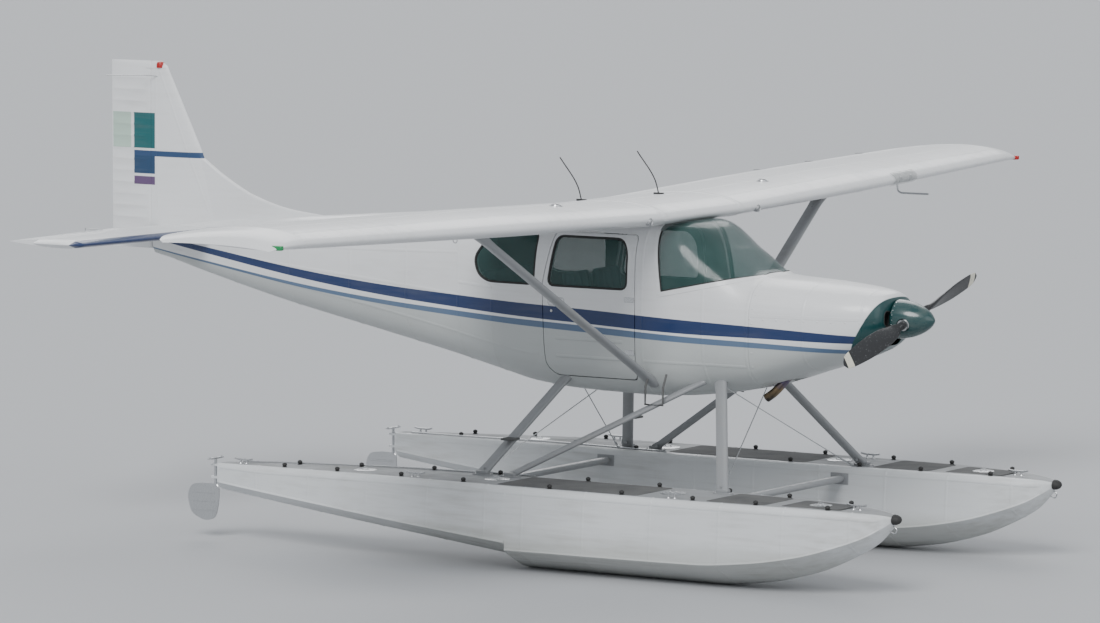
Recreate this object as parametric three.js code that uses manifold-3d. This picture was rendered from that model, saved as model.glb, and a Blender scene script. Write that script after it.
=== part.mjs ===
// Single-engine high-wing floatplane: strut-braced wing, tailwheel-type fuselage on twin floats.
// Millimetres, +X to the nose, +Y to port, +Z up. The keels stand on z = 0 and x = 0 is half way
// between the float bows and the rudder's trailing edge.
// Stations are written as s, the distance aft of the spinner's tip.
import * as THREE from 'three';
import { mergeVertices } from 'three/addons/utils/BufferGeometryUtils.js';
import Module from 'manifold-3d';

const wasm = await Module();
wasm.setup();

// Driving dimensions
const BOW_S = -430; // tip of the bow bumpers
const TAIL_S = 7800; // trailing edge of the rudder
const NOSE_X = (TAIL_S + BOW_S) / 2;
const THRUST_Z = 1950; // propeller shaft
const FLOAT_Y = 1250; // centreline of each float
const GAP = 0.3; // between pieces that touch
const PLAY = 8; // between a control surface and its bay
const WALL = 40; // cabin wall and door, trim included
const SKIN = 15; // tail cone wall, frames included

const at = (s) => NOSE_X - s;

// Materials
const paint = (color, roughness = 0.35, metalness = 0) =>
  new THREE.MeshStandardMaterial({ color, roughness, metalness });
const WHITE = paint(0xe9ebec);
const FLOAT_WHITE = paint(0xdfe2e4, 0.4);
const STRUT_GREY = paint(0xb9bdc0, 0.4);
const ALUMINIUM = paint(0xa9adb0, 0.35, 1);
const BLADE_GREY = paint(0x33363a, 0.45, 0.3);
const GLASS = new THREE.MeshStandardMaterial({
  color: 0x9fb8b4, roughness: 0.05, transparent: true, opacity: 0.35,
});
const TRIM = paint(0x7e8488, 0.9);
const DARK = paint(0x24272a, 0.7);
const RUBBER = paint(0x1f2022, 0.85);
const IRON = paint(0x5b5e60, 0.6, 0.6);
const STEEL = paint(0x6d6259, 0.5, 0.8);

// Solids and meshes

// A closed BufferGeometry as a manifold-3d solid.
function solid(geometry) {
  const bare = new THREE.BufferGeometry();
  bare.setAttribute('position', geometry.getAttribute('position').clone());
  if (geometry.index) bare.setIndex(geometry.index.clone());
  const merged = mergeVertices(bare, 1e-3);
  return new wasm.Manifold(new wasm.Mesh({
    numProp: 3,
    vertProperties: merged.attributes.position.array,
    triVerts: new Uint32Array(merged.index.array),
  }));
}

// A manifold-3d solid as a BufferGeometry.
function geometryOf(manifold) {
  const { numProp, numVert, vertProperties, triVerts } = manifold.getMesh();
  const positions = new Float32Array(numVert * 3);
  for (let i = 0; i < numVert; i++)
    positions.set(vertProperties.subarray(i * numProp, i * numProp + 3), i * 3);
  const geometry = new THREE.BufferGeometry();
  geometry.setAttribute('position', new THREE.BufferAttribute(positions, 3));
  geometry.setIndex(new THREE.BufferAttribute(triVerts, 1));
  return geometry;
}

const join = (first, ...rest) => rest.reduce((sum, part) => sum.add(part), first);
const cut = (first, ...rest) => rest.reduce((left, part) => left.subtract(part), first);

const aircraft = new THREE.Group();
aircraft.name = 'floatplane';

// Adds a named piece to a group, keeping its place in the aircraft's frame.
function addGeometry(name, geometry, material, parent) {
  const mesh = new THREE.Mesh(geometry, material);
  mesh.name = name;
  aircraft.add(mesh);
  if (parent !== aircraft) parent.attach(mesh);
}

const add = (name, manifold, material, parent = aircraft) =>
  addGeometry(name, geometryOf(manifold), material, parent);

// Adds a port piece and its starboard twin, each to its own parent.
function addPair(name, manifold, material, parents = [aircraft, aircraft]) {
  const port = geometryOf(manifold);
  const starboard = port.clone().scale(1, -1, 1);
  starboard.setIndex(Array.from(port.index.array).reverse());
  addGeometry(`${name}_left`, port, material, parents[0]);
  addGeometry(`${name}_right`, starboard, material, parents[1]);
}

// A group standing on a hinge point, with its own Z along the hinge axis.
function hinge(name, point, axis) {
  const pivot = new THREE.Group();
  pivot.name = name;
  pivot.position.copy(point);
  pivot.quaternion.setFromUnitVectors(new THREE.Vector3(0, 0, 1), axis.clone().normalize());
  aircraft.add(pivot);
  return pivot;
}

// A port hinge and its starboard twin, whose positive turn is the port one's mirror image.
const hingePair = (name, point, axis) => [
  hinge(`${name}_left_hinge`, point, axis),
  hinge(`${name}_right_hinge`, new THREE.Vector3(point.x, -point.y, point.z),
    new THREE.Vector3(-axis.x, axis.y, -axis.z)),
];

// A skin over rings of equally many points, with a fan at each end; its faces point out. Each
// four-sided patch is split along its shorter diagonal, so that port and starboard match.
function loft(rings) {
  const count = rings[0].length;
  const points = rings.flat();
  const centre = (ring) =>
    ring.reduce((sum, p) => sum.add(p), new THREE.Vector3()).divideScalar(count);
  points.push(centre(rings[0]), centre(rings.at(-1)));
  const first = points.length - 2;
  const last = points.length - 1;
  const faces = [];
  for (let i = 0; i < count; i++) {
    const j = (i + 1) % count;
    for (let r = 0; r < rings.length - 1; r++) {
      const [a, b, c, d] = [r * count + i, r * count + j, (r + 1) * count + i, (r + 1) * count + j];
      const longer = points[a].distanceTo(points[d]) > points[b].distanceTo(points[c]) + 1e-6;
      faces.push(...(longer ? [[a, b, c], [b, d, c]] : [[a, b, d], [a, d, c]]));
    }
    const end = (rings.length - 1) * count;
    faces.push([first, j, i], [last, end + i, end + j]);
  }
  const volume = faces.reduce(
    (sum, [a, b, c]) => sum + points[a].dot(points[b].clone().cross(points[c])), 0);
  if (volume < 0) faces.forEach((face) => face.reverse());
  const geometry = new THREE.BufferGeometry().setFromPoints(points);
  geometry.setIndex(faces.flat());
  return solid(geometry);
}

// A block between two corners.
function block([x0, y0, z0], [x1, y1, z1]) {
  const geometry = new THREE.BoxGeometry(Math.abs(x1 - x0), Math.abs(y1 - y0), Math.abs(z1 - z0));
  return solid(geometry.translate((x0 + x1) / 2, (y0 + y1) / 2, (z0 + z1) / 2));
}

// A side-view outline of [s, z] points carried from y0 to y1.
function sidePrism(outline, y0, y1) {
  const shape = new THREE.Shape(outline.map(([s, z]) => new THREE.Vector2(at(s), z)));
  const geometry = new THREE.ExtrudeGeometry(shape, { depth: y1 - y0, bevelEnabled: false });
  return solid(geometry.rotateX(Math.PI / 2).translate(0, y1, 0));
}

// The outline moved inwards by d, for the play around a door or pane: each corner slides along
// its two edges' inward normals. The outlines are convex.
function inset(outline, d) {
  const corners = outline.map(([s, z]) => new THREE.Vector2(s, z));
  const turn = Math.sign(THREE.ShapeUtils.area(corners));
  return corners.map((p, i) => {
    const a = corners.at(i - 1);
    const b = corners[(i + 1) % corners.length];
    const n1 = new THREE.Vector2(a.y - p.y, p.x - a.x).normalize().multiplyScalar(turn);
    const n2 = new THREE.Vector2(p.y - b.y, b.x - p.x).normalize().multiplyScalar(turn);
    const along = n1.clone().add(n2).divideScalar(1 + n1.dot(n2));
    return [p.x + along.x * d, p.y + along.y * d];
  });
}

// A round bar from p to q.
function bar(p, q, radius, facets = 12) {
  const along = q.clone().sub(p);
  const geometry = new THREE.CylinderGeometry(radius, radius, along.length(), facets);
  const turn = new THREE.Quaternion().setFromUnitVectors(
    new THREE.Vector3(0, 1, 0), along.clone().normalize());
  geometry.applyQuaternion(turn).translate(...p.clone().add(q).divideScalar(2).toArray());
  return solid(geometry);
}

// A streamlined bar from p to q, an ellipse in section with its chord fore and aft.
function strut(p, q, chord, thickness, facets = 12) {
  const along = q.clone().sub(p).normalize();
  const foreAft = new THREE.Vector3(1, 0, 0);
  foreAft.addScaledVector(along, -foreAft.dot(along)).normalize();
  const across = along.clone().cross(foreAft);
  const ring = (centre) => Array.from({ length: facets }, (_, i) => {
    const angle = (2 * Math.PI * i) / facets;
    return centre.clone()
      .addScaledVector(foreAft, (chord / 2) * Math.cos(angle))
      .addScaledVector(across, (thickness / 2) * Math.sin(angle));
  });
  return loft([ring(p), ring(q)]);
}

const vec = (s, y, z) => new THREE.Vector3(at(s), y, z);

const TAIL_POST_S = 7400; // end of the tail cone

// Fuselage: stations of superellipse sections. half is the half width, n the corner exponent.
const FUSELAGE = [
  // s, half, top, bottom, n
  [325, 235, 2095, 1805, 2.3],
  [350, 285, 2135, 1760, 2.4],
  [420, 330, 2160, 1710, 2.6],
  [600, 395, 2185, 1630, 2.8],
  [900, 455, 2208, 1530, 3.0],
  [1350, 505, 2232, 1385, 3.3],
  [1400, 508, 2240, 1372, 3.2],
  [1700, 528, 2440, 1315, 3.0],
  [2050, 545, 2640, 1275, 3.8],
  [2350, 550, 2650, 1262, 4.2],
  [3000, 548, 2650, 1275, 4.2],
  [3400, 536, 2650, 1310, 4.1],
  [3700, 515, 2648, 1370, 3.9],
  [4250, 440, 2612, 1478, 3.4],
  [5000, 335, 2558, 1615, 3.0],
  [6000, 215, 2480, 1805, 2.7],
  [6900, 115, 2408, 2015, 2.4],
  [7250, 68, 2372, 2105, 2.2],
  [TAIL_POST_S, 44, 2358, 2135, 2.2],
];
const RING_POINTS = 28;

// The fuselage's section at station s, grown outwards by grow.
function fuselageRing(s, grow = 0) {
  const next = Math.max(1, FUSELAGE.findIndex((row) => row[0] >= s));
  const [a, b] = [FUSELAGE[next - 1], FUSELAGE[next]];
  const t = (s - a[0]) / (b[0] - a[0]);
  const [half, top, bottom, n] = [1, 2, 3, 4].map((k) => a[k] + (b[k] - a[k]) * t);
  const wide = half + grow;
  const tall = (top - bottom) / 2 + grow;
  const power = (v) => Math.sign(v) * Math.abs(v) ** (2 / n);
  return Array.from({ length: RING_POINTS }, (_, i) => {
    const angle = (2 * Math.PI * i) / RING_POINTS;
    return vec(s, wide * power(Math.cos(angle)), (top + bottom) / 2 + tall * power(Math.sin(angle)));
  });
}

// The fuselage from station s0 to s1, grown outwards by grow.
function fuselage(s0, s1, grow = 0) {
  const stations = [s0, ...FUSELAGE.map((row) => row[0]).filter((s) => s > s0 + 5 && s < s1 - 5), s1];
  return loft(stations.map((s) => fuselageRing(s, grow)));
}

// Lifting surfaces: a section has a leading edge point, an aft and a normal direction, a chord,
// a thickness ratio and a camber ratio. x runs aft from 0 to 1 and heights are shares of the chord.
const CAMBER_PEAK = 0.4;
const FOIL_STEPS = 9;

function foilHeights(x, thickness, camber) {
  const half = 5 * thickness
    * (0.2969 * Math.sqrt(x) - 0.126 * x - 0.3516 * x ** 2 + 0.2843 * x ** 3 - 0.1015 * x ** 4);
  const p = CAMBER_PEAK;
  const mean = x < p
    ? (camber / p ** 2) * (2 * p * x - x ** 2)
    : (camber / (1 - p) ** 2) * (1 - 2 * p + 2 * p * x - x ** 2);
  return { half, mean };
}

const foilPoint = ({ lead, aft, normal, chord }, x, height) =>
  lead.clone().addScaledVector(aft, chord * x).addScaledVector(normal, chord * height);

// The whole outline of a section, from the leading edge over the top and back below.
function foilRing(section) {
  const xs = Array.from({ length: FOIL_STEPS + 1 },
    (_, i) => (1 - Math.cos((Math.PI * i) / FOIL_STEPS)) / 2);
  const side = (sign) => xs.slice(1).map((x) => {
    const { half, mean } = foilHeights(x, section.thickness, section.camber);
    return foilPoint(section, x, mean + sign * half);
  });
  return [foilPoint(section, 0, 0), ...side(1), ...side(-1).reverse()];
}

// The hinge centre of a section, and the nose radius that fits its skins there.
function hingeOf(section, x) {
  const { half, mean } = foilHeights(x, section.thickness, section.camber);
  return { centre: foilPoint(section, x, mean), radius: half * section.chord };
}

const ARC_STEPS = 6;
const arc = ({ aft, normal }, centre, radius) =>
  Array.from({ length: ARC_STEPS + 1 }, (_, i) => {
    const angle = Math.PI / 2 - (Math.PI * i) / ARC_STEPS;
    return centre.clone()
      .addScaledVector(aft, -radius * Math.cos(angle))
      .addScaledVector(normal, radius * Math.sin(angle));
  });

// A control surface's outline: a round nose on the hinge, then the section's own skins.
function surfaceRing(section, hingeX) {
  const { centre, radius } = hingeOf(section, hingeX);
  const xs = [0.34, 0.67, 1].map((t) => hingeX + (1 - hingeX) * t);
  const side = (sign) => xs.map((x) => {
    const { half, mean } = foilHeights(x, section.thickness, section.camber);
    return foilPoint(section, x, mean + sign * half);
  });
  return [...arc(section, centre, radius), ...side(-1), ...side(1).reverse()];
}

// What a bay removes: a round cove with play around the nose, and all that is aft of the hinge.
function bayRing(section, hingeX) {
  const { centre, radius } = hingeOf(section, hingeX);
  const high = radius + 120;
  const corner = (aftBy, up) => centre.clone()
    .addScaledVector(section.aft, aftBy).addScaledVector(section.normal, up);
  const behind = section.chord * (1 - hingeX) + 80;
  return [...arc(section, centre, radius + PLAY),
    corner(0, -high), corner(behind, -high), corner(behind, high), corner(0, high)];
}

// A hinged surface through its sections: its solid, the bay's cutter, and its hinge line.
function hinged(sections, bays, shareOf) {
  const centres = sections.map((section) => hingeOf(section, shareOf(section)).centre);
  return {
    body: loft(sections.map((section) => surfaceRing(section, shareOf(section)))),
    bay: loft(bays.map((section) => bayRing(section, shareOf(section)))),
    point: centres[0],
    axis: centres[1].clone().sub(centres[0]),
  };
}

// The row of a table at a key, read between its neighbours; the first column is the key.
function rowAt(table, key) {
  const next = Math.max(1, table.findIndex((row) => row[0] >= key));
  const [a, b] = [table[next - 1], table[next]];
  const t = (key - a[0]) / (b[0] - a[0]);
  return a.map((value, k) => value + (b[k] - value) * t);
}

// Wing: constant-chord inner panel, tapered outer panel, drooped tip.
const WING = [
  // y, lead s, chord, quarter-chord z, incidence in degrees, thickness
  [0, 2050, 1630, 2668, 1.5, 0.12],
  [560, 2050, 1630, 2668, 1.5, 0.12],
  [2540, 2050, 1630, 2728, 1.2, 0.12],
  [5160, 2213, 1142, 2807, -1.3, 0.12],
  [5320, 2235, 1085, 2802, -1.5, 0.1],
  [5420, 2262, 1020, 2785, -1.5, 0.065],
  [5460, 2300, 930, 2770, -1.5, 0.03],
];
const ROOT_Y = 560;
const WING_CAMBER = 0.02;
// The ends keep more play than the nose, because the hinge lines aren't square to the ends.
const FLAP = { from: 612, to: 2488, share: 0.7, endPlay: 18 };
const AILERON = { from: 2566, to: 5080, share: 0.77, endPlay: 14 };

function wingSection(y, grow = 0) {
  const [, lead, chord, quarter, incidence, thickness] = rowAt(WING, Math.abs(y));
  const angle = THREE.MathUtils.degToRad(incidence);
  return {
    lead: vec(lead - grow, y, quarter + (chord / 4) * Math.sin(angle)),
    aft: new THREE.Vector3(-Math.cos(angle), 0, -Math.sin(angle)),
    normal: new THREE.Vector3(-Math.sin(angle), 0, Math.cos(angle)),
    chord: chord + 2 * grow,
    thickness: thickness + (2.4 * grow) / chord,
    camber: WING_CAMBER,
  };
}

// The wing's middle, which is the cabin's roof between the wing roots.
const wingCentre = (grow = 0) =>
  loft([-ROOT_Y - grow, ROOT_Y + grow].map((y) => {
    const section = wingSection(0, grow);
    section.lead.y = y;
    return foilRing(section);
  }));

function buildWings() {
  const rows = [ROOT_Y + GAP, ...WING.slice(2).map((row) => row[0])];
  const whole = loft(rows.map((y) => foilRing(wingSection(y))));
  const control = ({ from, to, share, endPlay }) => hinged(
    [from, to].map((y) => wingSection(y)),
    [from - endPlay, to + endPlay].map((y) => wingSection(y)),
    () => share);
  const flap = control(FLAP);
  const aileron = control(AILERON);
  addPair('wing', cut(whole, flap.bay, aileron.bay), WHITE);
  // A positive turn lowers a flap, and raises an aileron.
  addPair('flap', flap.body, WHITE, hingePair('flap', flap.point, flap.axis.negate()));
  addPair('aileron', aileron.body, WHITE, hingePair('aileron', aileron.point, aileron.axis));
  add('wing_centre', wingCentre(), WHITE);
}

// Wing struts, from the foot of the front door post to the spar at mid span.
const STRUT_FOOT = [2240, 470, 1400];
const STRUT_HEAD = [2480, 2560, 2680];
const STRUT_CHORD = 115;
const STRUT_THICKNESS = 48;
const CUFF_LENGTH = 190;
const CUFF_EXTRA = 22;

function buildWingStruts() {
  const foot = vec(...STRUT_FOOT);
  const head = vec(...STRUT_HEAD);
  const along = head.clone().sub(foot).normalize();
  const cuff = (from, reach) => strut(from.clone().addScaledVector(along, -Math.sign(reach) * 6),
    from.clone().addScaledVector(along, reach), STRUT_CHORD + CUFF_EXTRA, STRUT_THICKNESS + CUFF_EXTRA);
  const whole = join(strut(foot, head, STRUT_CHORD, STRUT_THICKNESS),
    cuff(foot, CUFF_LENGTH), cuff(head, -CUFF_LENGTH));
  const lowered = [2300, WING[2][0], 2820].map((y) => {
    const section = wingSection(y);
    section.lead.z -= GAP;
    return foilRing(section);
  });
  const above = block([at(1900), 2200, 2700], [at(3200), 2900, 3000]);
  addPair('wing_strut', cut(whole, fuselage(1600, 3600, GAP), loft(lowered), above), STRUT_GREY);
}

// Cabin: a hollow shell, with doors and panes cut from the same skin.
const FIREWALL_S = 1350;
const BULKHEAD_S = 4250;
const BELLY_Z = 1420; // seam between the belly and the side panels
const FLOOR_Z = 1400;
const WIDE = 700; // past the widest point of the fuselage
const DOOR = [[2345, 1400], [2345, 2535], [3110, 2535], [3210, 2120], [3190, 1480], [3110, 1400]];
const DOOR_PANE = [[2425, 2110], [2425, 2400], [2480, 2495], [3085, 2495], [3155, 2110]];
const REAR_PANE = [[3290, 2110], [3265, 2515], [3600, 2515], [3760, 2440], [3875, 2290],
  [3840, 2165], [3740, 2110]];
const WINDSHIELD = [[1388, 2240], [2130, 2085], [2200, 2600], [2200, 3000], [1388, 3000]];
const PANE_DEPTH = 6; // from the skin to the pane
const PANE_THICK = 6;
const DOOR_PLAY = 7;
const DOOR_RIM = 15; // depth of the rim that fills the opening
const DOOR_PAN = 22; // distance of the inner pan from the frame
const DOOR_HINGE_Y = 553;

function buildCabin() {
  const [front, back] = [FIREWALL_S - 10, BULKHEAD_S + 10];
  const shell = cut(fuselage(FIREWALL_S, BULKHEAD_S), fuselage(front, back, -WALL), wingCentre(GAP));
  const pane = cut(fuselage(FIREWALL_S, BULKHEAD_S, -PANE_DEPTH),
    fuselage(front, back, -PANE_DEPTH - PANE_THICK), wingCentre(GAP));
  const port = (outline) => sidePrism(outline, 200, WIDE);
  const through = (outline) => sidePrism(outline, -WIDE, WIDE);

  const portSide = block([at(BULKHEAD_S + 50), GAP / 2, BELLY_Z + GAP], [at(FIREWALL_S - 50), WIDE, 3000]);
  const bellyBox = block([at(BULKHEAD_S + 50), -WIDE, 1000], [at(FIREWALL_S - 50), WIDE, BELLY_Z]);
  const doorway = sidePrism(DOOR, -WIDE, -200);
  add('cabin_belly', cut(shell.intersect(bellyBox), port(DOOR), doorway), WHITE);
  addPair('cabin_side', cut(shell.intersect(portSide), port(DOOR), port(REAR_PANE), through(WINDSHIELD)),
    WHITE);
  addPair('rear_window', pane.intersect(port(inset(REAR_PANE, GAP))), GLASS);
  const paneFront = cut(pane, block([at(2205), -WIDE, 1000], [at(5000), WIDE, 3000]));
  add('windshield', paneFront.intersect(through(inset(WINDSHIELD, GAP))), GLASS);

  // Doors: an outer rim that fills the opening and a smaller inner pan; a positive turn opens them.
  const pivots = hingePair('door', vec(DOOR[0][0], DOOR_HINGE_Y, DOOR[0][1]),
    new THREE.Vector3(0, 0, -1));
  const leaf = shell.intersect(port(inset(DOOR, DOOR_PLAY)));
  const edge = cut(fuselage(front, back, -DOOR_RIM), port(inset(DOOR, DOOR_PAN)));
  addPair('door', cut(leaf, edge, port(DOOR_PANE)), WHITE, pivots);
  addPair('door_window', pane.intersect(port(inset(DOOR_PANE, GAP))), GLASS, pivots);

  // Plates that close the cabin in front and behind, and the floor.
  const room = fuselage(front, back, -WALL - GAP);
  const plate = (s0, s1) => room.intersect(block([at(s1), -WIDE, 1000], [at(s0), WIDE, 2580]));
  add('firewall', plate(FIREWALL_S, FIREWALL_S + 12), ALUMINIUM);
  add('baggage_bulkhead', plate(BULKHEAD_S - 20, BULKHEAD_S - 8), TRIM);
  const floor = block([at(3650), -WIDE, FLOOR_Z - 18], [at(1370), WIDE, FLOOR_Z]);
  add('cabin_floor', room.intersect(floor), TRIM);
}

// Cabin fittings
const SEAT = [[2540, 1640], [2555, 1720], [2960, 1700], [3060, 2240], [3150, 2235], [3060, 1590],
  [2990, 1560], [2990, FLOOR_Z + GAP], [2600, FLOOR_Z + GAP], [2600, 1600]];
const BENCH = [[3330, 1640], [3345, 1725], [3740, 1705], [3830, 2230], [3920, 2225], [3840, 1600],
  [3640, 1560], [3640, FLOOR_Z + GAP], [3400, FLOOR_Z + GAP], [3400, 1600]];
const SEAT_Y = [35, 411];
const BENCH_Y = 390;
const WHEEL_Y = 240;
const WHEEL_HALF = 130;
const WHEEL_S = 2020;

function buildFittings() {
  addPair('front_seat', sidePrism(SEAT, ...SEAT_Y), TRIM);
  const rear = fuselage(3200, BULKHEAD_S, -WALL - GAP);
  add('rear_seat', sidePrism(BENCH, -BENCH_Y, BENCH_Y).intersect(rear), TRIM);

  // Panel, the shelf under the windshield, a pedestal and two control wheels.
  const room = fuselage(FIREWALL_S - 10, 2400, -WALL - GAP);
  const panel = join(
    block([at(1860), -WIDE, 1800], [at(1820), WIDE, 2150]),
    block([at(1900), -WIDE, 2130], [at(1420), WIDE, 2152]),
    block([at(1850), -70, FLOOR_Z + GAP], [at(1700), 70, 1810])).intersect(room);
  const wheels = [WHEEL_Y, -WHEEL_Y].map((y) => join(
    bar(vec(1850, y, 1960), vec(WHEEL_S, y, 1960), 14, 8),
    block([at(WHEEL_S + 12), y - WHEEL_HALF, 1935], [at(WHEEL_S - 12), y + WHEEL_HALF, 1965]),
    block([at(WHEEL_S + 12), y - WHEEL_HALF, 1935], [at(WHEEL_S - 12), y - WHEEL_HALF + 25, 2050]),
    block([at(WHEEL_S + 12), y + WHEEL_HALF - 25, 1935], [at(WHEEL_S - 12), y + WHEEL_HALF, 2050])));
  add('instrument_panel', join(panel, ...wheels), DARK);
}

// Engine, cowling and exhaust
const COWL_FRONT_S = 325;
const COWL_WALL = 14;
const ENGINE_LOW = 1745;
const EXHAUST = [[1060, ENGINE_LOW + 20], [1090, 1600], [1230, 1440], [1330, 1340], [1400, 1290]];
const EXHAUST_Y = -140;
const EXHAUST_RADIUS = 34;

function buildNose() {
  const outer = fuselage(COWL_FRONT_S, FIREWALL_S - GAP);
  const inner = fuselage(COWL_FRONT_S + COWL_WALL, FIREWALL_S + 5, -COWL_WALL);
  const intakes = [1, -1].map((side) => block([at(450), side * 105, 1905], [at(200), side * 205, 2020]));
  const crankHole = bar(vec(200, 0, THRUST_Z), vec(460, 0, THRUST_Z), 75, 16);
  const outlet = block([at(1400), -210, 1300], [at(1130), 210, 1485]);
  const cowl = cut(outer, inner, ...intakes, crankHole, outlet);
  const upperBox = block([at(1500), -WIDE, THRUST_Z + GAP / 2], [at(0), WIDE, 3000]);
  const lowerBox = block([at(1500), -WIDE, 1000], [at(0), WIDE, THRUST_Z - GAP / 2]);
  add('cowl_upper', cowl.intersect(upperBox), WHITE);
  add('cowl_lower', cowl.intersect(lowerBox), WHITE);
  add('engine_block', block([at(1260), -300, ENGINE_LOW], [at(560), 300, 2060]), IRON);

  const route = new THREE.CatmullRomCurve3(EXHAUST.map(([s, z]) => vec(s, EXHAUST_Y, z)));
  const bore = new THREE.Shape().absarc(0, 0, EXHAUST_RADIUS, 0, 2 * Math.PI);
  const pipe = solid(new THREE.ExtrudeGeometry(bore,
    { steps: 10, curveSegments: 5, extrudePath: route, bevelEnabled: false }));
  const below = block([at(1500), -300, 1000], [at(900), 300, ENGINE_LOW - GAP]);
  add('exhaust_pipe', cut(pipe.intersect(below), fuselage(FIREWALL_S - 1, 1600, GAP)), STEEL);
}

// Propeller and spinner
const BLADE = [
  // radius, chord, thickness, pitch in degrees
  [60, 62, 62, 0],
  [190, 62, 62, 0],
  [270, 110, 40, 52],
  [430, 150, 27, 40],
  [640, 158, 18, 29],
  [850, 138, 12, 22],
  [990, 104, 8, 18],
  [1050, 56, 6, 16],
];
const BLADE_S = 205; // plane of the blades
const PARKED_TILT = 14; // degrees of the port blade above the horizontal
const BLADE_POINTS = 10;
const SPINNER = [[0, 0], [12, 28], [50, 68], [110, 104], [190, 134], [260, 147], [300, 150]];
const SPINNER_BACK_S = 308;
const SPINNER_WALL = 5;
const SPINNER_FACETS = 18;
const BLADE_HOLE = 46;

function bladeRing(direction, [radius, chord, thickness, pitch]) {
  const ahead = new THREE.Vector3(1, 0, 0);
  const along = ahead.clone().cross(direction);
  const angle = THREE.MathUtils.degToRad(pitch);
  const chordwise = along.clone().multiplyScalar(Math.cos(angle)).addScaledVector(ahead, Math.sin(angle));
  const across = direction.clone().cross(chordwise);
  const centre = vec(BLADE_S, 0, THRUST_Z).addScaledVector(direction, radius);
  return Array.from({ length: BLADE_POINTS }, (_, i) => {
    const turn = (2 * Math.PI * i) / BLADE_POINTS;
    return centre.clone()
      .addScaledVector(chordwise, (chord / 2) * Math.cos(turn))
      .addScaledVector(across, (thickness / 2) * Math.sin(turn));
  });
}

// The spinner's outside, or with shrink its inside, turned about the shaft.
function spinnerTurned(shrink) {
  const profile = [new THREE.Vector2(0, shrink)];
  for (const [s, r] of SPINNER.slice(1)) profile.push(new THREE.Vector2(Math.max(r - shrink, 4), s + shrink));
  profile.push(new THREE.Vector2(SPINNER.at(-1)[1] - shrink, SPINNER_BACK_S - shrink));
  profile.push(new THREE.Vector2(0, SPINNER_BACK_S - shrink));
  const lathe = new THREE.LatheGeometry(profile, SPINNER_FACETS);
  return solid(lathe.rotateZ(Math.PI / 2).translate(at(0), 0, THRUST_Z));
}

function buildPropeller() {
  const pivot = hinge('propeller_shaft', vec(BLADE_S, 0, THRUST_Z), new THREE.Vector3(1, 0, 0));
  const tilt = THREE.MathUtils.degToRad(PARKED_TILT);
  const port = new THREE.Vector3(0, Math.cos(tilt), Math.sin(tilt));
  const blades = [port, port.clone().negate()].map((direction) =>
    loft(BLADE.map((row) => bladeRing(direction, row))));
  const hub = bar(vec(150, 0, THRUST_Z), vec(260, 0, THRUST_Z), 78, 16);
  const shaft = bar(vec(250, 0, THRUST_Z), vec(552, 0, THRUST_Z), 45, 12);
  add('propeller', join(hub, shaft, ...blades), BLADE_GREY, pivot);

  const centre = vec(BLADE_S, 0, THRUST_Z);
  const roots = bar(centre.clone().addScaledVector(port, -260),
    centre.clone().addScaledVector(port, 260), BLADE_HOLE, 12);
  const shaftHole = bar(vec(280, 0, THRUST_Z), vec(330, 0, THRUST_Z), BLADE_HOLE, 12);
  add('spinner', cut(spinnerTurned(0), spinnerTurned(SPINNER_WALL), roots, shaftHole), WHITE, pivot);
}

// Tail
const STABILIZER = [
  // y, lead s, chord, thickness
  [0, 6680, 990, 0.09],
  [1620, 6868, 748, 0.09],
  [1700, 6950, 610, 0.05],
];
const STABILIZER_Z = 2325;
const ELEVATOR_HINGE_S = 7330;
const ELEVATOR_Y = [80, 1620];
const ELEVATOR_ROOT = [[7345, 60], [7345, 84], [7700, 190], [7700, 60]];
const TORQUE_TUBE = 20;
const FIN = [
  // z, lead s, thickness
  [2340, 6640, 0.09],
  [3000, 6890, 0.09],
  [3670, 7230, 0.09],
  [3710, 7290, 0.05],
];
const RUDDER_HINGE_S = 7400;
const RUDDER_LOW = 2165;
const FILLET = [[5650, 2440], [6350, 2640], [6900, 2950], [6900, 2340], [5650, 2340]];
const FILLET_HALF = 14;

// The share of a tail section's chord that lies ahead of a hinge line at station s.
const shareAhead = (s) => (section) => (section.lead.x - at(s)) / section.chord;

function stabilizerSection(y, grow = 0) {
  const [, lead, chord, thickness] = rowAt(STABILIZER, Math.abs(y));
  return {
    lead: vec(lead - grow, y, STABILIZER_Z),
    aft: new THREE.Vector3(-1, 0, 0),
    normal: new THREE.Vector3(0, 0, 1),
    chord: chord + 2 * grow,
    thickness: thickness + (2.4 * grow) / chord,
    camber: 0,
  };
}

function finSection(z, low = z) {
  const [, lead, thickness] = rowAt(FIN, z);
  return {
    lead: vec(lead, 0, low),
    aft: new THREE.Vector3(-1, 0, 0),
    normal: new THREE.Vector3(0, 1, 0),
    chord: TAIL_S - lead,
    thickness,
    camber: 0,
  };
}

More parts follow.
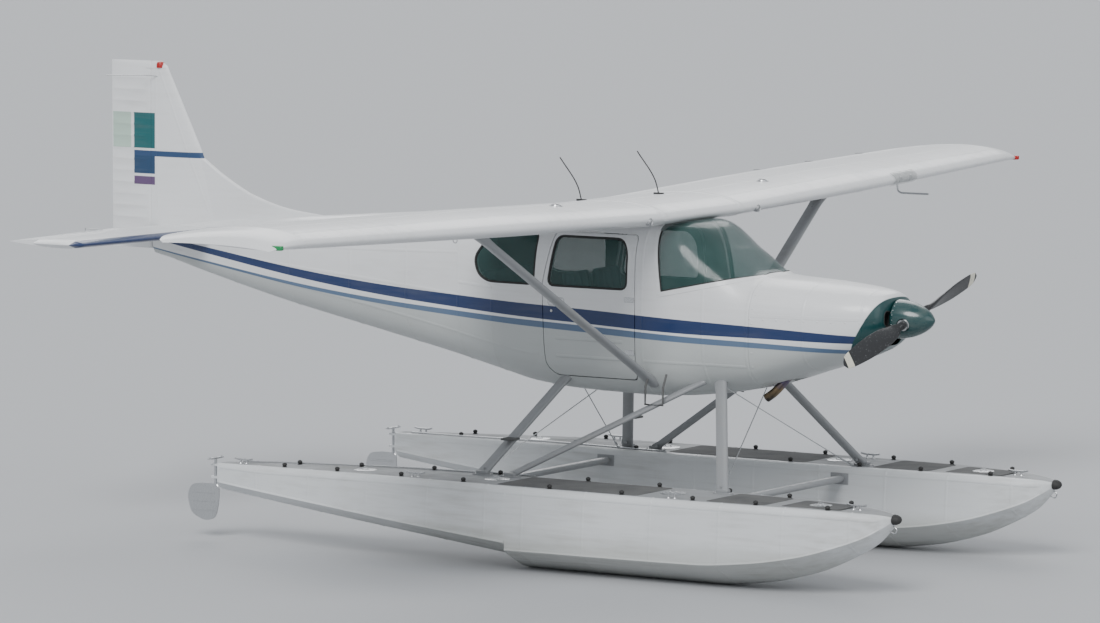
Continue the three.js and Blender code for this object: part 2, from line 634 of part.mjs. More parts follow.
function buildTail() {
  const span = [-1700, -1620, 0, 1620, 1700];
  const stabilizer = (grow = 0) => loft(span.map((y) => foilRing(stabilizerSection(y, grow))));
  const elevatorShare = shareAhead(ELEVATOR_HINGE_S);
  const half = hinged(ELEVATOR_Y.map((y) => stabilizerSection(y)),
    [-1620, 0, 1620].map((y) => stabilizerSection(y)), elevatorShare);
  const tips = block([at(8000), 1610, 2200], [at(ELEVATOR_HINGE_S - 42), 1800, 2450]);
  const tipsTwin = block([at(8000), -1800, 2200], [at(ELEVATOR_HINGE_S - 42), -1610, 2450]);
  add('stabilizer', cut(stabilizer(), half.bay, tips, tipsTwin), WHITE);

  // Two elevator halves on one tube; their roots slant away from the rudder's swing.
  const wedge = new THREE.ExtrudeGeometry(
    new THREE.Shape(ELEVATOR_ROOT.map(([s, y]) => new THREE.Vector2(at(s), y))),
    { depth: 300, bevelEnabled: false }).translate(0, 0, STABILIZER_Z - 150);
  const portHalf = geometryOf(cut(half.body, solid(wedge)));
  const starboardHalf = portHalf.clone().scale(1, -1, 1);
  starboardHalf.setIndex(Array.from(portHalf.index.array).reverse());
  const tube = bar(vec(ELEVATOR_HINGE_S, -ELEVATOR_Y[0] - 40, STABILIZER_Z),
    vec(ELEVATOR_HINGE_S, ELEVATOR_Y[0] + 40, STABILIZER_Z), TORQUE_TUBE);
  add('elevator', join(tube, solid(portHalf), solid(starboardHalf)), WHITE,
    hinge('elevator_hinge', vec(ELEVATOR_HINGE_S, 0, STABILIZER_Z), new THREE.Vector3(0, 1, 0)));

  // The fin stands on the tail cone; the rudder's hinge line is upright behind both.
  const heights = FIN.slice(2).map((row) => row[0]);
  const rudder = hinged([finSection(FIN[0][0], RUDDER_LOW), ...heights.map((z) => finSection(z))],
    [finSection(FIN[0][0], RUDDER_LOW - 60), finSection(heights[0]), finSection(heights[1], 3780)],
    shareAhead(RUDDER_HINGE_S));
  add('rudder', rudder.body, WHITE, hinge('rudder_hinge', rudder.point, new THREE.Vector3(0, 0, 1)));
  const tubeHole = bar(vec(ELEVATOR_HINGE_S, -200, STABILIZER_Z),
    vec(ELEVATOR_HINGE_S, 200, STABILIZER_Z), TORQUE_TUBE + PLAY);
  const cone = cut(fuselage(BULKHEAD_S + GAP, TAIL_POST_S), fuselage(BULKHEAD_S - 10, 7000, -SKIN));
  add('tail_cone', cut(cone, stabilizer(GAP), tubeHole, rudder.bay), WHITE);
  const fillet = sidePrism(FILLET, -FILLET_HALF, FILLET_HALF);
  const fin = join(loft(FIN.map(([z]) => foilRing(finSection(z)))), fillet);
  add('fin', cut(fin, rudder.bay, fuselage(5000, TAIL_POST_S, GAP), stabilizer(GAP)), WHITE);
}

// Floats: hard-chine hulls with a step, decked over.
const FLOAT_COLUMNS = {
  // s, keel z, chine z, chine half width, deck z, deck half width
  forebody: [
    [-370, 555, 575, 42, 612, 46],
    [-330, 500, 540, 88, 622, 90],
    [-220, 390, 465, 165, 634, 160],
    [0, 265, 375, 243, 645, 230],
    [300, 140, 285, 307, 653, 285],
    [700, 45, 215, 352, 655, 325],
    [1150, 0, 176, 372, 655, 344],
    [2850, 0, 162, 378, 655, 350],
  ],
  afterbody: [
    [2850, 72, 218, 372, 655, 350],
    [3700, 165, 292, 340, 655, 318],
    [4700, 275, 378, 240, 640, 226],
    [5450, 365, 440, 140, 624, 134],
    [5770, 405, 468, 92, 616, 88],
  ],
};
const KEEL_HALF = 16;
const DECK_Z = 655;
const STERN_POST_S = 5850;
const LUGS = [[486, 502], [586, 602]];
const RUDDER_BLADE = [[5815, 440], [5815, 300], [5850, 160], [5960, 135], [6090, 190],
  [6130, 330], [6090, 425], [5960, 440]];

// One float section: keel strip, flared bottom, chine, side, rounded deck edge, flat deck.
function floatRing([s, keel, chine, chineHalf, deck, deckHalf], y, grow = 0) {
  const edge = Math.min(50, deckHalf / 3, (deck - chine) / 3);
  const half = [
    [Math.min(KEEL_HALF, chineHalf / 3), keel - grow],
    [chineHalf * 0.55 + grow, keel + (chine - keel) * 0.42 - grow],
    [chineHalf + grow, chine],
    [deckHalf + grow, deck - edge],
    [deckHalf + grow - edge * 0.3, deck + grow - edge * 0.3],
    [deckHalf - edge, deck + grow],
  ];
  const port = half.map(([dy, z]) => vec(s, y + dy, z));
  const starboard = half.map(([dy, z]) => vec(s, y - dy, z)).reverse();
  return [...port, ...starboard];
}

const hull = (rows, grow = 0) => loft(rows.map((row) => floatRing(row, FLOAT_Y, grow)));

function buildFloats() {
  const { forebody, afterbody } = FLOAT_COLUMNS;
  // The afterbody reaches a little into the forebody, so that the two are one hull.
  const inForebody = [forebody.at(-1)[0] - 40, ...afterbody[0].slice(1)];
  const lugs = LUGS.map(([z0, z1]) =>
    block([at(STERN_POST_S + 34), FLOAT_Y - 32, z0], [at(5760), FLOAT_Y + 32, z1]));
  const pinHole = bar(vec(STERN_POST_S, FLOAT_Y, 400), vec(STERN_POST_S, FLOAT_Y, 700), 20);
  addPair('float', join(hull(forebody), hull([inForebody, ...afterbody]), cut(join(...lugs), pinHole)),
    FLOAT_WHITE);

  const ball = new THREE.SphereGeometry(1, 12, 8).scale(60, 52, 40).translate(at(-370), FLOAT_Y, 592);
  const behind = block([at(500), 1000, 0], [at(-370 - GAP), 1500, 900]);
  addPair('bow_bumper', cut(solid(ball), behind), RUBBER);

  // Water rudders: a blade on an upright pin, turned by a tiller on top. Both turn alike.
  const up = new THREE.Vector3(0, 0, 1);
  const pivots = [['left', 1], ['right', -1]].map(([name, side]) =>
    hinge(`water_rudder_${name}_hinge`, vec(STERN_POST_S, side * FLOAT_Y, 440), up));
  const pin = bar(vec(STERN_POST_S, FLOAT_Y, 432), vec(STERN_POST_S, FLOAT_Y, 652), 12);
  const tiller = block([at(STERN_POST_S + 20), FLOAT_Y - 95, 640],
    [at(STERN_POST_S - 20), FLOAT_Y + 95, 652]);
  const blade = sidePrism(RUDDER_BLADE, FLOAT_Y - 7, FLOAT_Y + 7);
  addPair('water_rudder', join(pin, tiller, blade), ALUMINIUM, pivots);
}

// Float gear: on each side a front, a rear and a slanting strut, and two spreader bars between.
const GEAR_LEGS = [
  // name, foot s, head s, head y, chord, thickness
  ['front', 1230, 1640, 410, 95, 42],
  ['rear', 3420, 3010, 430, 95, 42],
  ['slant', 3160, 1800, 410, 60, 34],
];
const GEAR_FOOT_Y = 1060;
const GEAR_HEAD_Z = 1420;
const SHOE = [75, 32, 34]; // half length, half width, height
const SPREADERS = [
  // name, s
  ['front', 1360],
  ['rear', 3550],
];
const SPREADER_Z = 560;

function buildFloatGear() {
  const belly = fuselage(FIREWALL_S - 10, BULKHEAD_S, GAP);
  for (const [name, footS, headS, headY, chord, thickness] of GEAR_LEGS) {
    const foot = vec(footS, GEAR_FOOT_Y, DECK_Z - 40);
    const head = vec(headS, headY, GEAR_HEAD_Z);
    const shoe = block([foot.x - SHOE[0], foot.y - SHOE[1], DECK_Z + GAP],
      [foot.x + SHOE[0], foot.y + SHOE[1], DECK_Z + SHOE[2]]);
    const underDeck = block([foot.x - 300, 0, 0], [foot.x + 300, 1600, DECK_Z + GAP]);
    addPair(`float_strut_${name}`, cut(join(shoe, strut(foot, head, chord, thickness)), underDeck, belly),
      STRUT_GREY);
  }
  const { forebody, afterbody } = FLOAT_COLUMNS;
  const port = join(hull(forebody, GAP), hull([[2810, ...afterbody[0].slice(1)], ...afterbody], GAP));
  const starboard = geometryOf(port).scale(1, -1, 1);
  starboard.setIndex(Array.from(starboard.index.array).reverse());
  for (const [name, s] of SPREADERS) {
    const bow = strut(vec(s, -FLOAT_Y, SPREADER_Z), vec(s, FLOAT_Y, SPREADER_Z), 120, 56);
    add(`spreader_bar_${name}`, cut(bow, port, solid(starboard)), STRUT_GREY);
  }
}

buildCabin();
buildFittings();
buildNose();
buildPropeller();
buildTail();
buildWings();
buildWingStruts();
buildFloats();
buildFloatGear();

export default aircraft;
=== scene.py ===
# A single-engine high-wing floatplane on twin floats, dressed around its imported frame.
# Metres, +X to the nose, +Y to port, +Z up, with the keels on z = 0. Stations, written as s, are
# distances aft of the spinner's tip.
import math
from collections import namedtuple

import bmesh
import bpy
import numpy as np
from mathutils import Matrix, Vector


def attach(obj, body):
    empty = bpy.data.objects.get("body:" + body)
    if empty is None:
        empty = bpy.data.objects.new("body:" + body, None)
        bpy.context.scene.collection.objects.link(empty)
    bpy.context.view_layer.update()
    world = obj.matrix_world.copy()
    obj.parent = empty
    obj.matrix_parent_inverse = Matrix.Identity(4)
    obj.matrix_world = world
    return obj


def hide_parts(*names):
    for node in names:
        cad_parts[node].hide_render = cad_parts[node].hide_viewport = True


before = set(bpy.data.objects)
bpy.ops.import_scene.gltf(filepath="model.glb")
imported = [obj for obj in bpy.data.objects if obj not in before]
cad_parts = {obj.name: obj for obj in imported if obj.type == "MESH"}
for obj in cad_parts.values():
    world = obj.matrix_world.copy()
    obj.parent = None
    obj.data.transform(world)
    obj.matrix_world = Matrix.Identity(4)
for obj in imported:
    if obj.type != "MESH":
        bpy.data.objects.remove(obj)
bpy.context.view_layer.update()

# Camera: the photograph looks at the starboard side from about 48 m away and 6 m up, a little
# ahead of the wing. A long lens from there fills the frame with the aircraft.
AZIMUTH, ELEVATION = math.radians(33), math.radians(5.5)
DISTANCE, FRAME_WIDTH, SENSOR_WIDTH = 48.0, 8.7, 36.0
aim = Vector((0.2, 0.0, 1.84))
back = Vector((math.sin(AZIMUTH) * math.cos(ELEVATION), -math.cos(AZIMUTH) * math.cos(ELEVATION),
               math.sin(ELEVATION)))


def hung(name, data, place, look):
    """A camera or lamp at a place, turned to look along a direction."""
    held = bpy.data.objects.new(name, data)
    held.location = place
    held.rotation_mode = "QUATERNION"
    held.rotation_quaternion = look.to_track_quat("-Z", "Y")
    bpy.context.scene.collection.objects.link(held)
    return held


lens = bpy.data.cameras.new("camera")
lens.sensor_width, lens.lens = SENSOR_WIDTH, SENSOR_WIDTH * DISTANCE / FRAME_WIDTH
lens.clip_end = 2000
bpy.context.scene.camera = hung("camera", lens, aim + back * DISTANCE, -back)

# Floor and light: a wide pale floor that runs into an equally pale sky, one large soft key from
# the camera's left and above, a weaker fill from the right and a rim light from behind.
FLOOR_HALF = 700.0
corners = [(FLOOR_HALF * a, FLOOR_HALF * b, 0) for a, b in ((-1, -1), (1, -1), (1, 1), (-1, 1))]
floor_mesh = bpy.data.meshes.new("floor")
floor_mesh.from_pydata(corners, [], [(0, 1, 2, 3)])
floor = bpy.data.objects.new("floor", floor_mesh)
bpy.context.scene.collection.objects.link(floor)
floor_paint = bpy.data.materials.new("studio_floor")
floor_paint.use_nodes = True
floor_shader = floor_paint.node_tree.nodes["Principled BSDF"]
floor_shader.inputs["Base Color"].default_value = (0.45, 0.46, 0.475, 1)
floor_shader.inputs["Roughness"].default_value = 0.75
floor_mesh.materials.append(floor_paint)

world = bpy.data.worlds.new("studio")
world.use_nodes = True
world.node_tree.nodes["Background"].inputs["Color"].default_value = (0.78, 0.81, 0.85, 1)
world.node_tree.nodes["Background"].inputs["Strength"].default_value = 0.75
bpy.context.scene.world = world
for name, place, spread, strength in [
    ("key", (4, -16, 17), 28, 2.2),
    ("fill", (17, -3, 9), 50, 0.6),
    ("rim", (-9, 14, 14), 40, 0.9),
]:
    light = bpy.data.lights.new(name, "SUN")
    light.angle, light.energy = math.radians(spread), strength
    hung(name, light, place, aim - Vector(place))


# Fuselage: a stressed skin of thin aluminium sheet over frames and stringers, from the firewall
# to the rudder post, hollow and lined at the cabin. Its laps are riveted, and it is sprayed white
# with a navy cheat line over a thin slate one. Below them the belly is a pale grey of painted shade.
NOSE_X, TAIL_POST_S = 3.685, 7.4
CABIN_WALL, TAIL_WALL = 0.04, 0.015
FUSELAGE = np.array([
    # s, half width, top, bottom, corner exponent
    (0.325, 0.235, 2.095, 1.805, 2.3), (0.35, 0.285, 2.135, 1.76, 2.4), (0.42, 0.33, 2.16, 1.71, 2.6),
    (0.6, 0.395, 2.185, 1.63, 2.8), (0.9, 0.455, 2.208, 1.53, 3.0), (1.35, 0.505, 2.232, 1.385, 3.3),
    (1.4, 0.508, 2.24, 1.372, 3.2), (1.7, 0.528, 2.44, 1.315, 3.0), (2.05, 0.545, 2.64, 1.275, 3.8),
    (2.35, 0.55, 2.65, 1.262, 4.2), (3.0, 0.548, 2.65, 1.275, 4.2), (3.4, 0.536, 2.65, 1.31, 4.1),
    (3.7, 0.515, 2.648, 1.37, 3.9), (4.25, 0.44, 2.612, 1.478, 3.4), (5.0, 0.335, 2.558, 1.615, 3.0),
    (6.0, 0.215, 2.48, 1.805, 2.7), (6.9, 0.115, 2.408, 2.015, 2.4), (7.25, 0.068, 2.372, 2.105, 2.2),
    (7.4, 0.044, 2.358, 2.135, 2.2)])
# Outlines of (s, z).
DOOR = [(2.345, 1.4), (2.345, 2.535), (3.11, 2.535), (3.21, 2.12), (3.19, 1.48), (3.11, 1.4)]
DOOR_PANE = [(2.425, 2.11), (2.425, 2.4), (2.48, 2.495), (3.085, 2.495), (3.155, 2.11)]
REAR_PANE = [(3.29, 2.11), (3.265, 2.515), (3.6, 2.515), (3.76, 2.44), (3.875, 2.29),
             (3.84, 2.165), (3.74, 2.11)]
WINDSHIELD = [(1.388, 2.24), (2.13, 2.085), (2.2, 2.6), (2.2, 3.0), (1.388, 3.0)]
DOOR_CORNER, PANE_CORNER = 0.045, 0.055
SIDE_CUT = 0.2, 0.7  # y from which and up to which an opening in the side is cut
FULL_CUT = -0.7, 0.7  # and one that goes right across
AHEAD, ASTERN, PORT, UP = (1, 0, 0), (-1, 0, 0), (0, 1, 0), (0, 0, 1)


def turns(count):
    """So many even angles round a circle."""
    return np.linspace(0, 2 * np.pi, count, endpoint=False)


ROUND = turns(144)


def at(s, y, z):
    """Places at stations s and at y and z, each of them a number or an array."""
    return np.stack(np.broadcast_arrays(NOSE_X - np.asarray(s, float), y, z), -1)


def smooth_rows(table, keys):
    """The table's columns at the keys, on cubic curves through its rows. A row's slope is the
    harmonic mean of the slopes before and after it, or none where they turn back."""
    x, y = table[:, 0], table[:, 1:]
    step = np.diff(x)[:, None]
    rise = np.diff(y, axis=0) / step
    before, after = rise[:-1], rise[1:]
    same = before * after > 0
    mean = np.where(same, 2 * before * after / np.where(same, before + after, 1), 0)
    slope = np.vstack([rise[:1], mean, rise[-1:]])
    keys = np.clip(np.atleast_1d(keys), x[0], x[-1])
    row = np.clip(np.searchsorted(x, keys, side="right") - 1, 0, len(x) - 2)
    t = ((keys - x[row]) / step[row, 0])[:, None]
    return ((1 + 2 * t) * (1 - t) ** 2 * y[row] + t * (1 - t) ** 2 * step[row] * slope[row]
            + t * t * (3 - 2 * t) * y[row + 1] + t * t * (t - 1) * step[row] * slope[row + 1])


def skin(stations, angles, grow=0.0):
    """Points where rays at the angles leave the fuselage's superellipse |y/a|^n + |z/b|^n = 1 at
    the stations, a and b grown by grow: one row for each station."""
    stations = np.atleast_1d(stations)
    half, top, bottom, power = smooth_rows(FUSELAGE, stations).T[:, :, None]
    wide, tall = half + grow, (top - bottom) / 2 + grow
    across, up = np.cos(np.atleast_2d(angles)), np.sin(np.atleast_2d(angles))
    reach = ((np.abs(across) / wide) ** power + (np.abs(up) / tall) ** power) ** (-1 / power)
    return at(stations[:, None], reach * across, (top + bottom) / 2 + reach * up)


def side_width(s, z, grow=0.0):
    """Half width of the fuselage at station s and height z, from the same superellipse."""
    half, top, bottom, power = smooth_rows(FUSELAGE, s).T
    level = np.clip(np.abs(z - (top + bottom) / 2) / ((top - bottom) / 2 + grow), 0, 1)
    return (half + grow) * (1 - level ** power) ** (1 / power)


def tubular(rings, around=False):
    """(points, faces) of a closed loft through rings of equally many points, with flat end caps,
    or joined to its own start where it goes around."""
    rows, columns = rings.shape[:2]
    row = np.arange(rows if around else rows - 1)[:, None] * columns
    column = np.arange(columns)[None]
    below, beside = (row + columns) % (rows * columns), (column + 1) % columns
    quads = np.stack([row + column, row + beside, below + beside, below + column], -1)
    faces = quads.reshape(-1, 4).tolist()
    if not around:
        faces += [list(range(columns)), list(range((rows - 1) * columns, rows * columns))]
    return rings.reshape(-1, 3), faces


def lined(rings, first, last):
    """A loft that goes around, with paint 1 on its rows from first up to last."""
    points, faces = tubular(rings, around=True)
    return points, faces, [int(first <= min(face) // rings.shape[1] < last) for face in faces]


def rounded(outline, radius, steps=6):
    """A closed outline with its corners rounded by quadratic curves that start radius from each
    corner, or half a side where the side is shorter."""
    corner = np.array(outline, float)
    out = []
    for before, here, after in zip(np.roll(corner, 1, 0), corner, np.roll(corner, -1, 0)):
        t = np.linspace(0, 1, steps + 1)[:, None]
        lengths = np.linalg.norm(before - here), np.linalg.norm(after - here)
        start, end = (here + (other - here) * min(radius / length, 1 / 2.01)
                      for other, length in zip((before, after), lengths))
        out.append((1 - t) ** 2 * start + 2 * t * (1 - t) * here + t ** 2 * end)
    return np.vstack(out)


def prism(outline, view, low, high):
    """(points, faces) of an outline carried from low to high: a side view's (s, z) across the
    aircraft, a front view's (y, z) along it, or a top view's (s, y) upwards."""
    a, b = np.asarray(outline, float).T
    order = {"side": lambda end: (a, end, b), "front": lambda end: (end, a, b),
             "top": lambda end: (a, b, end)}
    return tubular(np.stack([at(*order[view](end)) for end in (low, high)]))


def mirror_to(side, parts):
    """Port parts as they are, or starboard's mirror image of them."""
    return parts if side > 0 else [(points * (1, -1, 1), *rest) for points, *rest in parts]


def mirrored(parts):
    """The parts and their mirror images across the plane of symmetry."""
    return parts + mirror_to(-1, parts)


def build(name, parts, *paints):
    """A mesh object from parts of (points, faces) and, where it isn't 0, a paint number or one for
    each face. Coincident points are merged, and every closed shell is turned to face outwards."""
    mesh = bpy.data.meshes.new(name)
    faces, numbers, start = [], [], 0
    for points, own, *number in parts:
        faces += [[start + corner for corner in face] for face in own]
        numbers += np.broadcast_to(number[0] if number else 0, len(own)).tolist()
        start += len(points)
    mesh.from_pydata(np.vstack([part[0] for part in parts]).tolist(), [], faces)
    for paint in paints or [None] * (max(numbers) + 1):  # a boolean drops numbers that have no slot
        mesh.materials.append(paint)
    mesh.polygons.foreach_set("material_index", numbers)
    work = bmesh.new()
    work.from_mesh(mesh)
    bmesh.ops.remove_doubles(work, verts=work.verts, dist=1e-6)
    bmesh.ops.dissolve_degenerate(work, edges=work.edges, dist=1e-6)
    bmesh.ops.recalc_face_normals(work, faces=work.faces)
    work.to_mesh(mesh)
    work.free()
    piece = bpy.data.objects.new(name, mesh)
    bpy.context.scene.collection.objects.link(piece)
    return piece


def taken(piece):
    """A piece's points, faces and paint numbers, with its modifiers applied."""
    bpy.context.view_layer.update()
    mesh = bpy.data.meshes.new_from_object(piece.evaluated_get(bpy.context.evaluated_depsgraph_get()))
    points, numbers = np.empty(3 * len(mesh.vertices)), np.empty(len(mesh.polygons), int)
    mesh.vertices.foreach_get("co", points)
    mesh.polygons.foreach_get("material_index", numbers)
    return points.reshape(-1, 3), [list(face.vertices) for face in mesh.polygons], numbers


def carved(parts, cutters, operation="DIFFERENCE", solver="MANIFOLD"):
    """Closed shells with the cutters taken away, or what they share with them, as one part."""
    blank, tool = build("blank", parts), build("cutter", cutters)
    change = blank.modifiers.new("carve", "BOOLEAN")
    change.operation, change.solver, change.object, change.material_mode = operation, solver, tool, "INDEX"
    part = taken(blank)
    for done in (blank, tool):
        bpy.data.objects.remove(done)
    return part


def fit(name, parts, slot, *paints, body="airframe", sharp=32, stands_for=()):
    """A piece with smooth shading and edges past the sharp angle left crisp, the CAD body it rides
    on, and the CAD nodes it stands for. The slot argument is not used."""
    piece = build(name, parts, *paints)
    piece.data.shade_smooth()
    piece.data.set_sharp_from_angle(angle=math.radians(sharp))
    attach(piece, body)
    if stands_for:
        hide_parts(*stands_for)
    return piece


def fit_pair(name, parts, slot, *paints, body=None, stands_for=None, **dressing):
    """A piece for the port side and its mirror image, each with its own name, body and CAD node."""
    return [fit(f"{name}_{end}", mirror_to(side, parts), slot, *paints,
                body=f"{body}_{end}" if body else "airframe",
                stands_for=(f"{stands_for}_{end}",) if stands_for else (), **dressing)
            for end, side in (("left", 1), ("right", -1))]


def node(tree, kind, inputs, **options):
    """A shader node's first output. Options are the node's own, and an input takes a value or
    another node's output."""
    made = tree.nodes.new("ShaderNode" + kind)
    for key, value in options.items():
        setattr(made, key, value)
    for key, value in inputs.items():
        if isinstance(value, bpy.types.NodeSocket):
            tree.links.new(value, made.inputs[key])
        else:
            made.inputs[key].default_value = value
    return made.outputs[0]


def sums(operation, a, b=0.0, c=0.0):
    """One arithmetic step on an output and numbers or further outputs."""
    return node(a.id_data, "Math", {0: a, 1: b, 2: c}, operation=operation)


def graded(value, low, high, start=0.0, end=1.0):
    """From start to end as a value goes from low to high, and level beyond."""
    return node(value.id_data, "MapRange", {0: value, 1: low, 2: high, 3: start, 4: end})


PAINT_EDGE = 0.003  # how softly a masked colour ends


def within(offset, half):
    """1 where an offset lies within half of nothing, with the soft edges of masked paint."""
    return graded(sums("SUBTRACT", sums("ABSOLUTE", offset), half), 0.0, PAINT_EDGE, 1.0, 0.0)


def blended(amount, a, b):
    """Colour a where the amount is 0, and b where it is 1."""
    a, b = (shade if isinstance(shade, bpy.types.NodeSocket) else (*shade, 1) for shade in (a, b))
    return node(amount.id_data, "Mix", {0: amount, 6: a, 7: b}, data_type="RGBA").node.outputs[2]


def noise(place, scale, detail=3.0, stretch=None):
    """Cloudy noise of so many cycles to the metre, drawn out where a stretch is given."""
    if stretch:
        place = node(place.id_data, "Mapping", {0: place, 3: stretch})
    return node(place.id_data, "TexNoise", {"Vector": place, "Scale": scale, "Detail": detail})


def material(name, roughness=0.5, metallic=0.0, **sockets):
    """A new material, and its object coordinate whole and as s, y and z."""
    made = bpy.data.materials.new(name)
    made.use_nodes = True
    tree = made.node_tree
    for key, value in dict(sockets, Roughness=roughness, Metallic=metallic).items():
        tree.nodes["Principled BSDF"].inputs[key.replace("_", " ")].default_value = value
    place = node(tree, "TexCoord", {}).node.outputs["Object"]
    x, y, z = node(tree, "SeparateXYZ", {0: place}).node.outputs
    return made, place, (sums("MULTIPLY_ADD", x, -1.0, NOSE_X), y, z)


def finish(made, color, roughness, height, strength, distance=0.001):
    """Feeds a material's shader its colour, its roughness and its relief."""
    tree = made.node_tree
    bump = node(tree, "Bump", {"Strength": strength, "Distance": distance, "Height": height})
    for socket, value in (("Base Color", color), ("Roughness", roughness), ("Normal", bump)):
        tree.links.new(value, tree.nodes["Principled BSDF"].inputs[socket])
    return made


def weathered(made, place, color, grime=0.1, gloss=0.3, relief=0.12, tint=(0.3, 0.28, 0.24)):
    """Finishes an enamel: broad fading, streaks of grime drawn out fore and aft, a gloss that varies
    with both, and the slight waves of thin sheet under the paint."""
    patches = sums("MULTIPLY", noise(place, 1.6, 5.0), noise(place, 2.0, 6.0, (1.2, 9.0, 14.0)))
    dirt = graded(patches, 0.22, 0.48, 0.0, grime)
    speck = noise(place, 60.0)
    rough = sums("MULTIPLY_ADD", speck, 0.08, sums("MULTIPLY_ADD", dirt, 1.6, gloss - 0.04))
    height = sums("MULTIPLY_ADD", noise(place, 4.0, 2.0), 0.01, sums("MULTIPLY", speck, 0.0006))
    return finish(made, blended(dirt, color, tint), rough, height, relief, 1.0)


def enamelled(name, color, *wear, **coat):
    """A weathered enamel of one colour, with the wear and the coat that are given."""
    made, place, _ = material(name, **coat)
    return weathered(made, place, color, *wear)


def mottled(name, dark, light, patch, grain, roughness=0.5, metallic=0.0, relief=0.3, stretch=None,
            ribs=None, **sockets):
    """A material that drifts between two colours in patches, with a fine grain in its gloss and its
    relief, or moulded or woven ribs of (cycles to the metre, direction) in the relief."""
    made, place, _ = material(name, roughness, metallic, **sockets)
    fine = height = noise(place, grain, 3.0, stretch)
    if ribs:
        cycles, direction = ribs
        height = node(made.node_tree, "TexWave", {"Vector": place, "Scale": cycles, "Distortion": 1.5},
                      bands_direction=direction)
    return finish(made, blended(noise(place, patch, 5.0, stretch), dark, light),
                  sums("MULTIPLY_ADD", fine, 0.2, roughness - 0.1), height, relief, 0.0008)


WHITE, NAVY, SLATE = (0.78, 0.79, 0.8), (0.01, 0.03, 0.11), (0.1, 0.16, 0.26)
# The belly grey is painted shade: the shadow under the curved lower fuselage, laid into its colour.
BELLY_SHADE_GREY, TEAL = (0.5, 0.525, 0.52), (0.006, 0.05, 0.052)
STRIPES = np.array([  # s, centre height and half width of the navy stripe, half width of the slate one
    (0.0, 1.795, 0.02, 0.01), (0.35, 1.8, 0.026, 0.013), (1.17, 1.828, 0.04, 0.019),
    (2.01, 1.848, 0.052, 0.023), (2.79, 1.88, 0.054, 0.024), (3.69, 1.915, 0.05, 0.022),
    (5.33, 2.01, 0.036, 0.015), (6.87, 2.2, 0.022, 0.007), (7.4, 2.275, 0.014, 0.004)])
SLATE_DROP, STRIPE_TOP = 0.098, 3.0
BOWL_RAKE, BOWL_EDGE = 0.55, 1.5  # the bowl's edge is where s + rake z reaches this


def station_curve(station, column):
    """A column of the stripes' table, read along the fuselage by a curve through its rows."""
    reach = STRIPES[-1, 0]
    made = station.id_data.nodes.new("ShaderNodeFloatCurve")
    made.mapping.use_clip = False
    points = made.mapping.curves[0].points
    for _ in STRIPES[2:]:
        points.new(0, 0)
    for point, row in zip(points, STRIPES):
        point.location = (row[0] / reach, row[column] / STRIPE_TOP)
    made.mapping.update()
    station.id_data.links.new(sums("DIVIDE", station, reach), made.inputs["Value"])
    return sums("MULTIPLY", made.outputs[0], STRIPE_TOP)


# White over a pale grey of painted shade on the belly, parted by the two cheat lines, and a dark
# teal nose bowl whose edge sweeps back as it drops.
enamel, place, (station, _, up) = material("fuselage_enamel_and_belly_shade", Coat_Weight=0.22, Coat_Roughness=0.12)
drop = sums("SUBTRACT", up, station_curve(station, 1))
below = sums("ADD", drop, SLATE_DROP)
# Below the slate line the white turns to the belly's grey of painted shade.
color = blended(graded(below, -0.004, 0.0, 1.0, 0.0), WHITE, BELLY_SHADE_GREY)
color = blended(within(below, station_curve(station, 3)), color, SLATE)
color = blended(within(drop, station_curve(station, 2)), color, NAVY)
raked = sums("MULTIPLY_ADD", up, BOWL_RAKE, station)
color = blended(graded(raked, BOWL_EDGE - PAINT_EDGE, BOWL_EDGE + PAINT_EDGE, 1.0, 0.0), color, TEAL)
BODY_WHITE = "white_paint", weathered(enamel, place, color)
CABIN_LINING = mottled("cabin_lining", (0.34, 0.35, 0.35), (0.44, 0.45, 0.44), 3.0, 320.0, 0.85)

outside = skin(np.r_[np.linspace(1.351, 4.3, 108), np.linspace(4.3, TAIL_POST_S, 58)[1:]], ROUND)
tail_inside = skin(np.linspace(6.9, 4.28, 22), ROUND, -TAIL_WALL)
cabin_inside = skin(np.linspace(4.2, 1.351, 52), ROUND, -CABIN_WALL)
rings = np.concatenate([outside, tail_inside, cabin_inside])
rudder_cove = [(TAIL_POST_S + a, z) for a, z in ((-0.045, 2.0), (0.1, 2.0), (0.1, 2.5), (-0.045, 2.5))]
openings = mirrored([prism(rounded(DOOR, DOOR_CORNER), "side", *SIDE_CUT),
                     prism(rounded(REAR_PANE, PANE_CORNER), "side", *SIDE_CUT)])
openings += [prism(WINDSHIELD, "side", *FULL_CUT), prism(rudder_cove, "side", *FULL_CUT)]
shell = carved([lined(rings, len(outside) + len(tail_inside) - 1, len(rings))], openings)
fit("fuselage_shell", [shell], *BODY_WHITE, CABIN_LINING,
    stands_for=("cabin_belly", "cabin_side_left", "cabin_side_right", "tail_cone"))


# Skin laps: each sheet of the fuselage overlaps the next by about an inch at a frame or stringer,
# and a row of domed rivets holds the lap down.
RIVET_RADIUS, FINE_RIVET = 0.0042, 0.0036


def square_to(aft, along, outward=None):
    """Unit vectors square to two sets of directions, turned to lie with outward ones where given."""
    normal = np.cross(aft, along)
    normal /= np.linalg.norm(normal, axis=-1, keepdims=True)
    return normal if outward is None else normal * np.sign((normal * outward).sum(-1, keepdims=True))


def with_normals(point_at, step, outward=None):
    """Points of a surface, given as a function of small steps along its two coordinates, and the
    normals there."""
    return point_at(0, 0), square_to(point_at(step, 0) - point_at(-step, 0),
                                     point_at(0, step) - point_at(0, -step), outward)


def skin_path(stations, degrees):
    """Points of the fuselage skin at stations and angles from straight below, and the normals."""
    stations, turn = np.broadcast_arrays(stations, np.radians(np.asarray(degrees, float) - 90))
    return with_normals(lambda ds, dt: skin(stations + ds, (turn + dt)[:, None])[:, 0], 0.002)


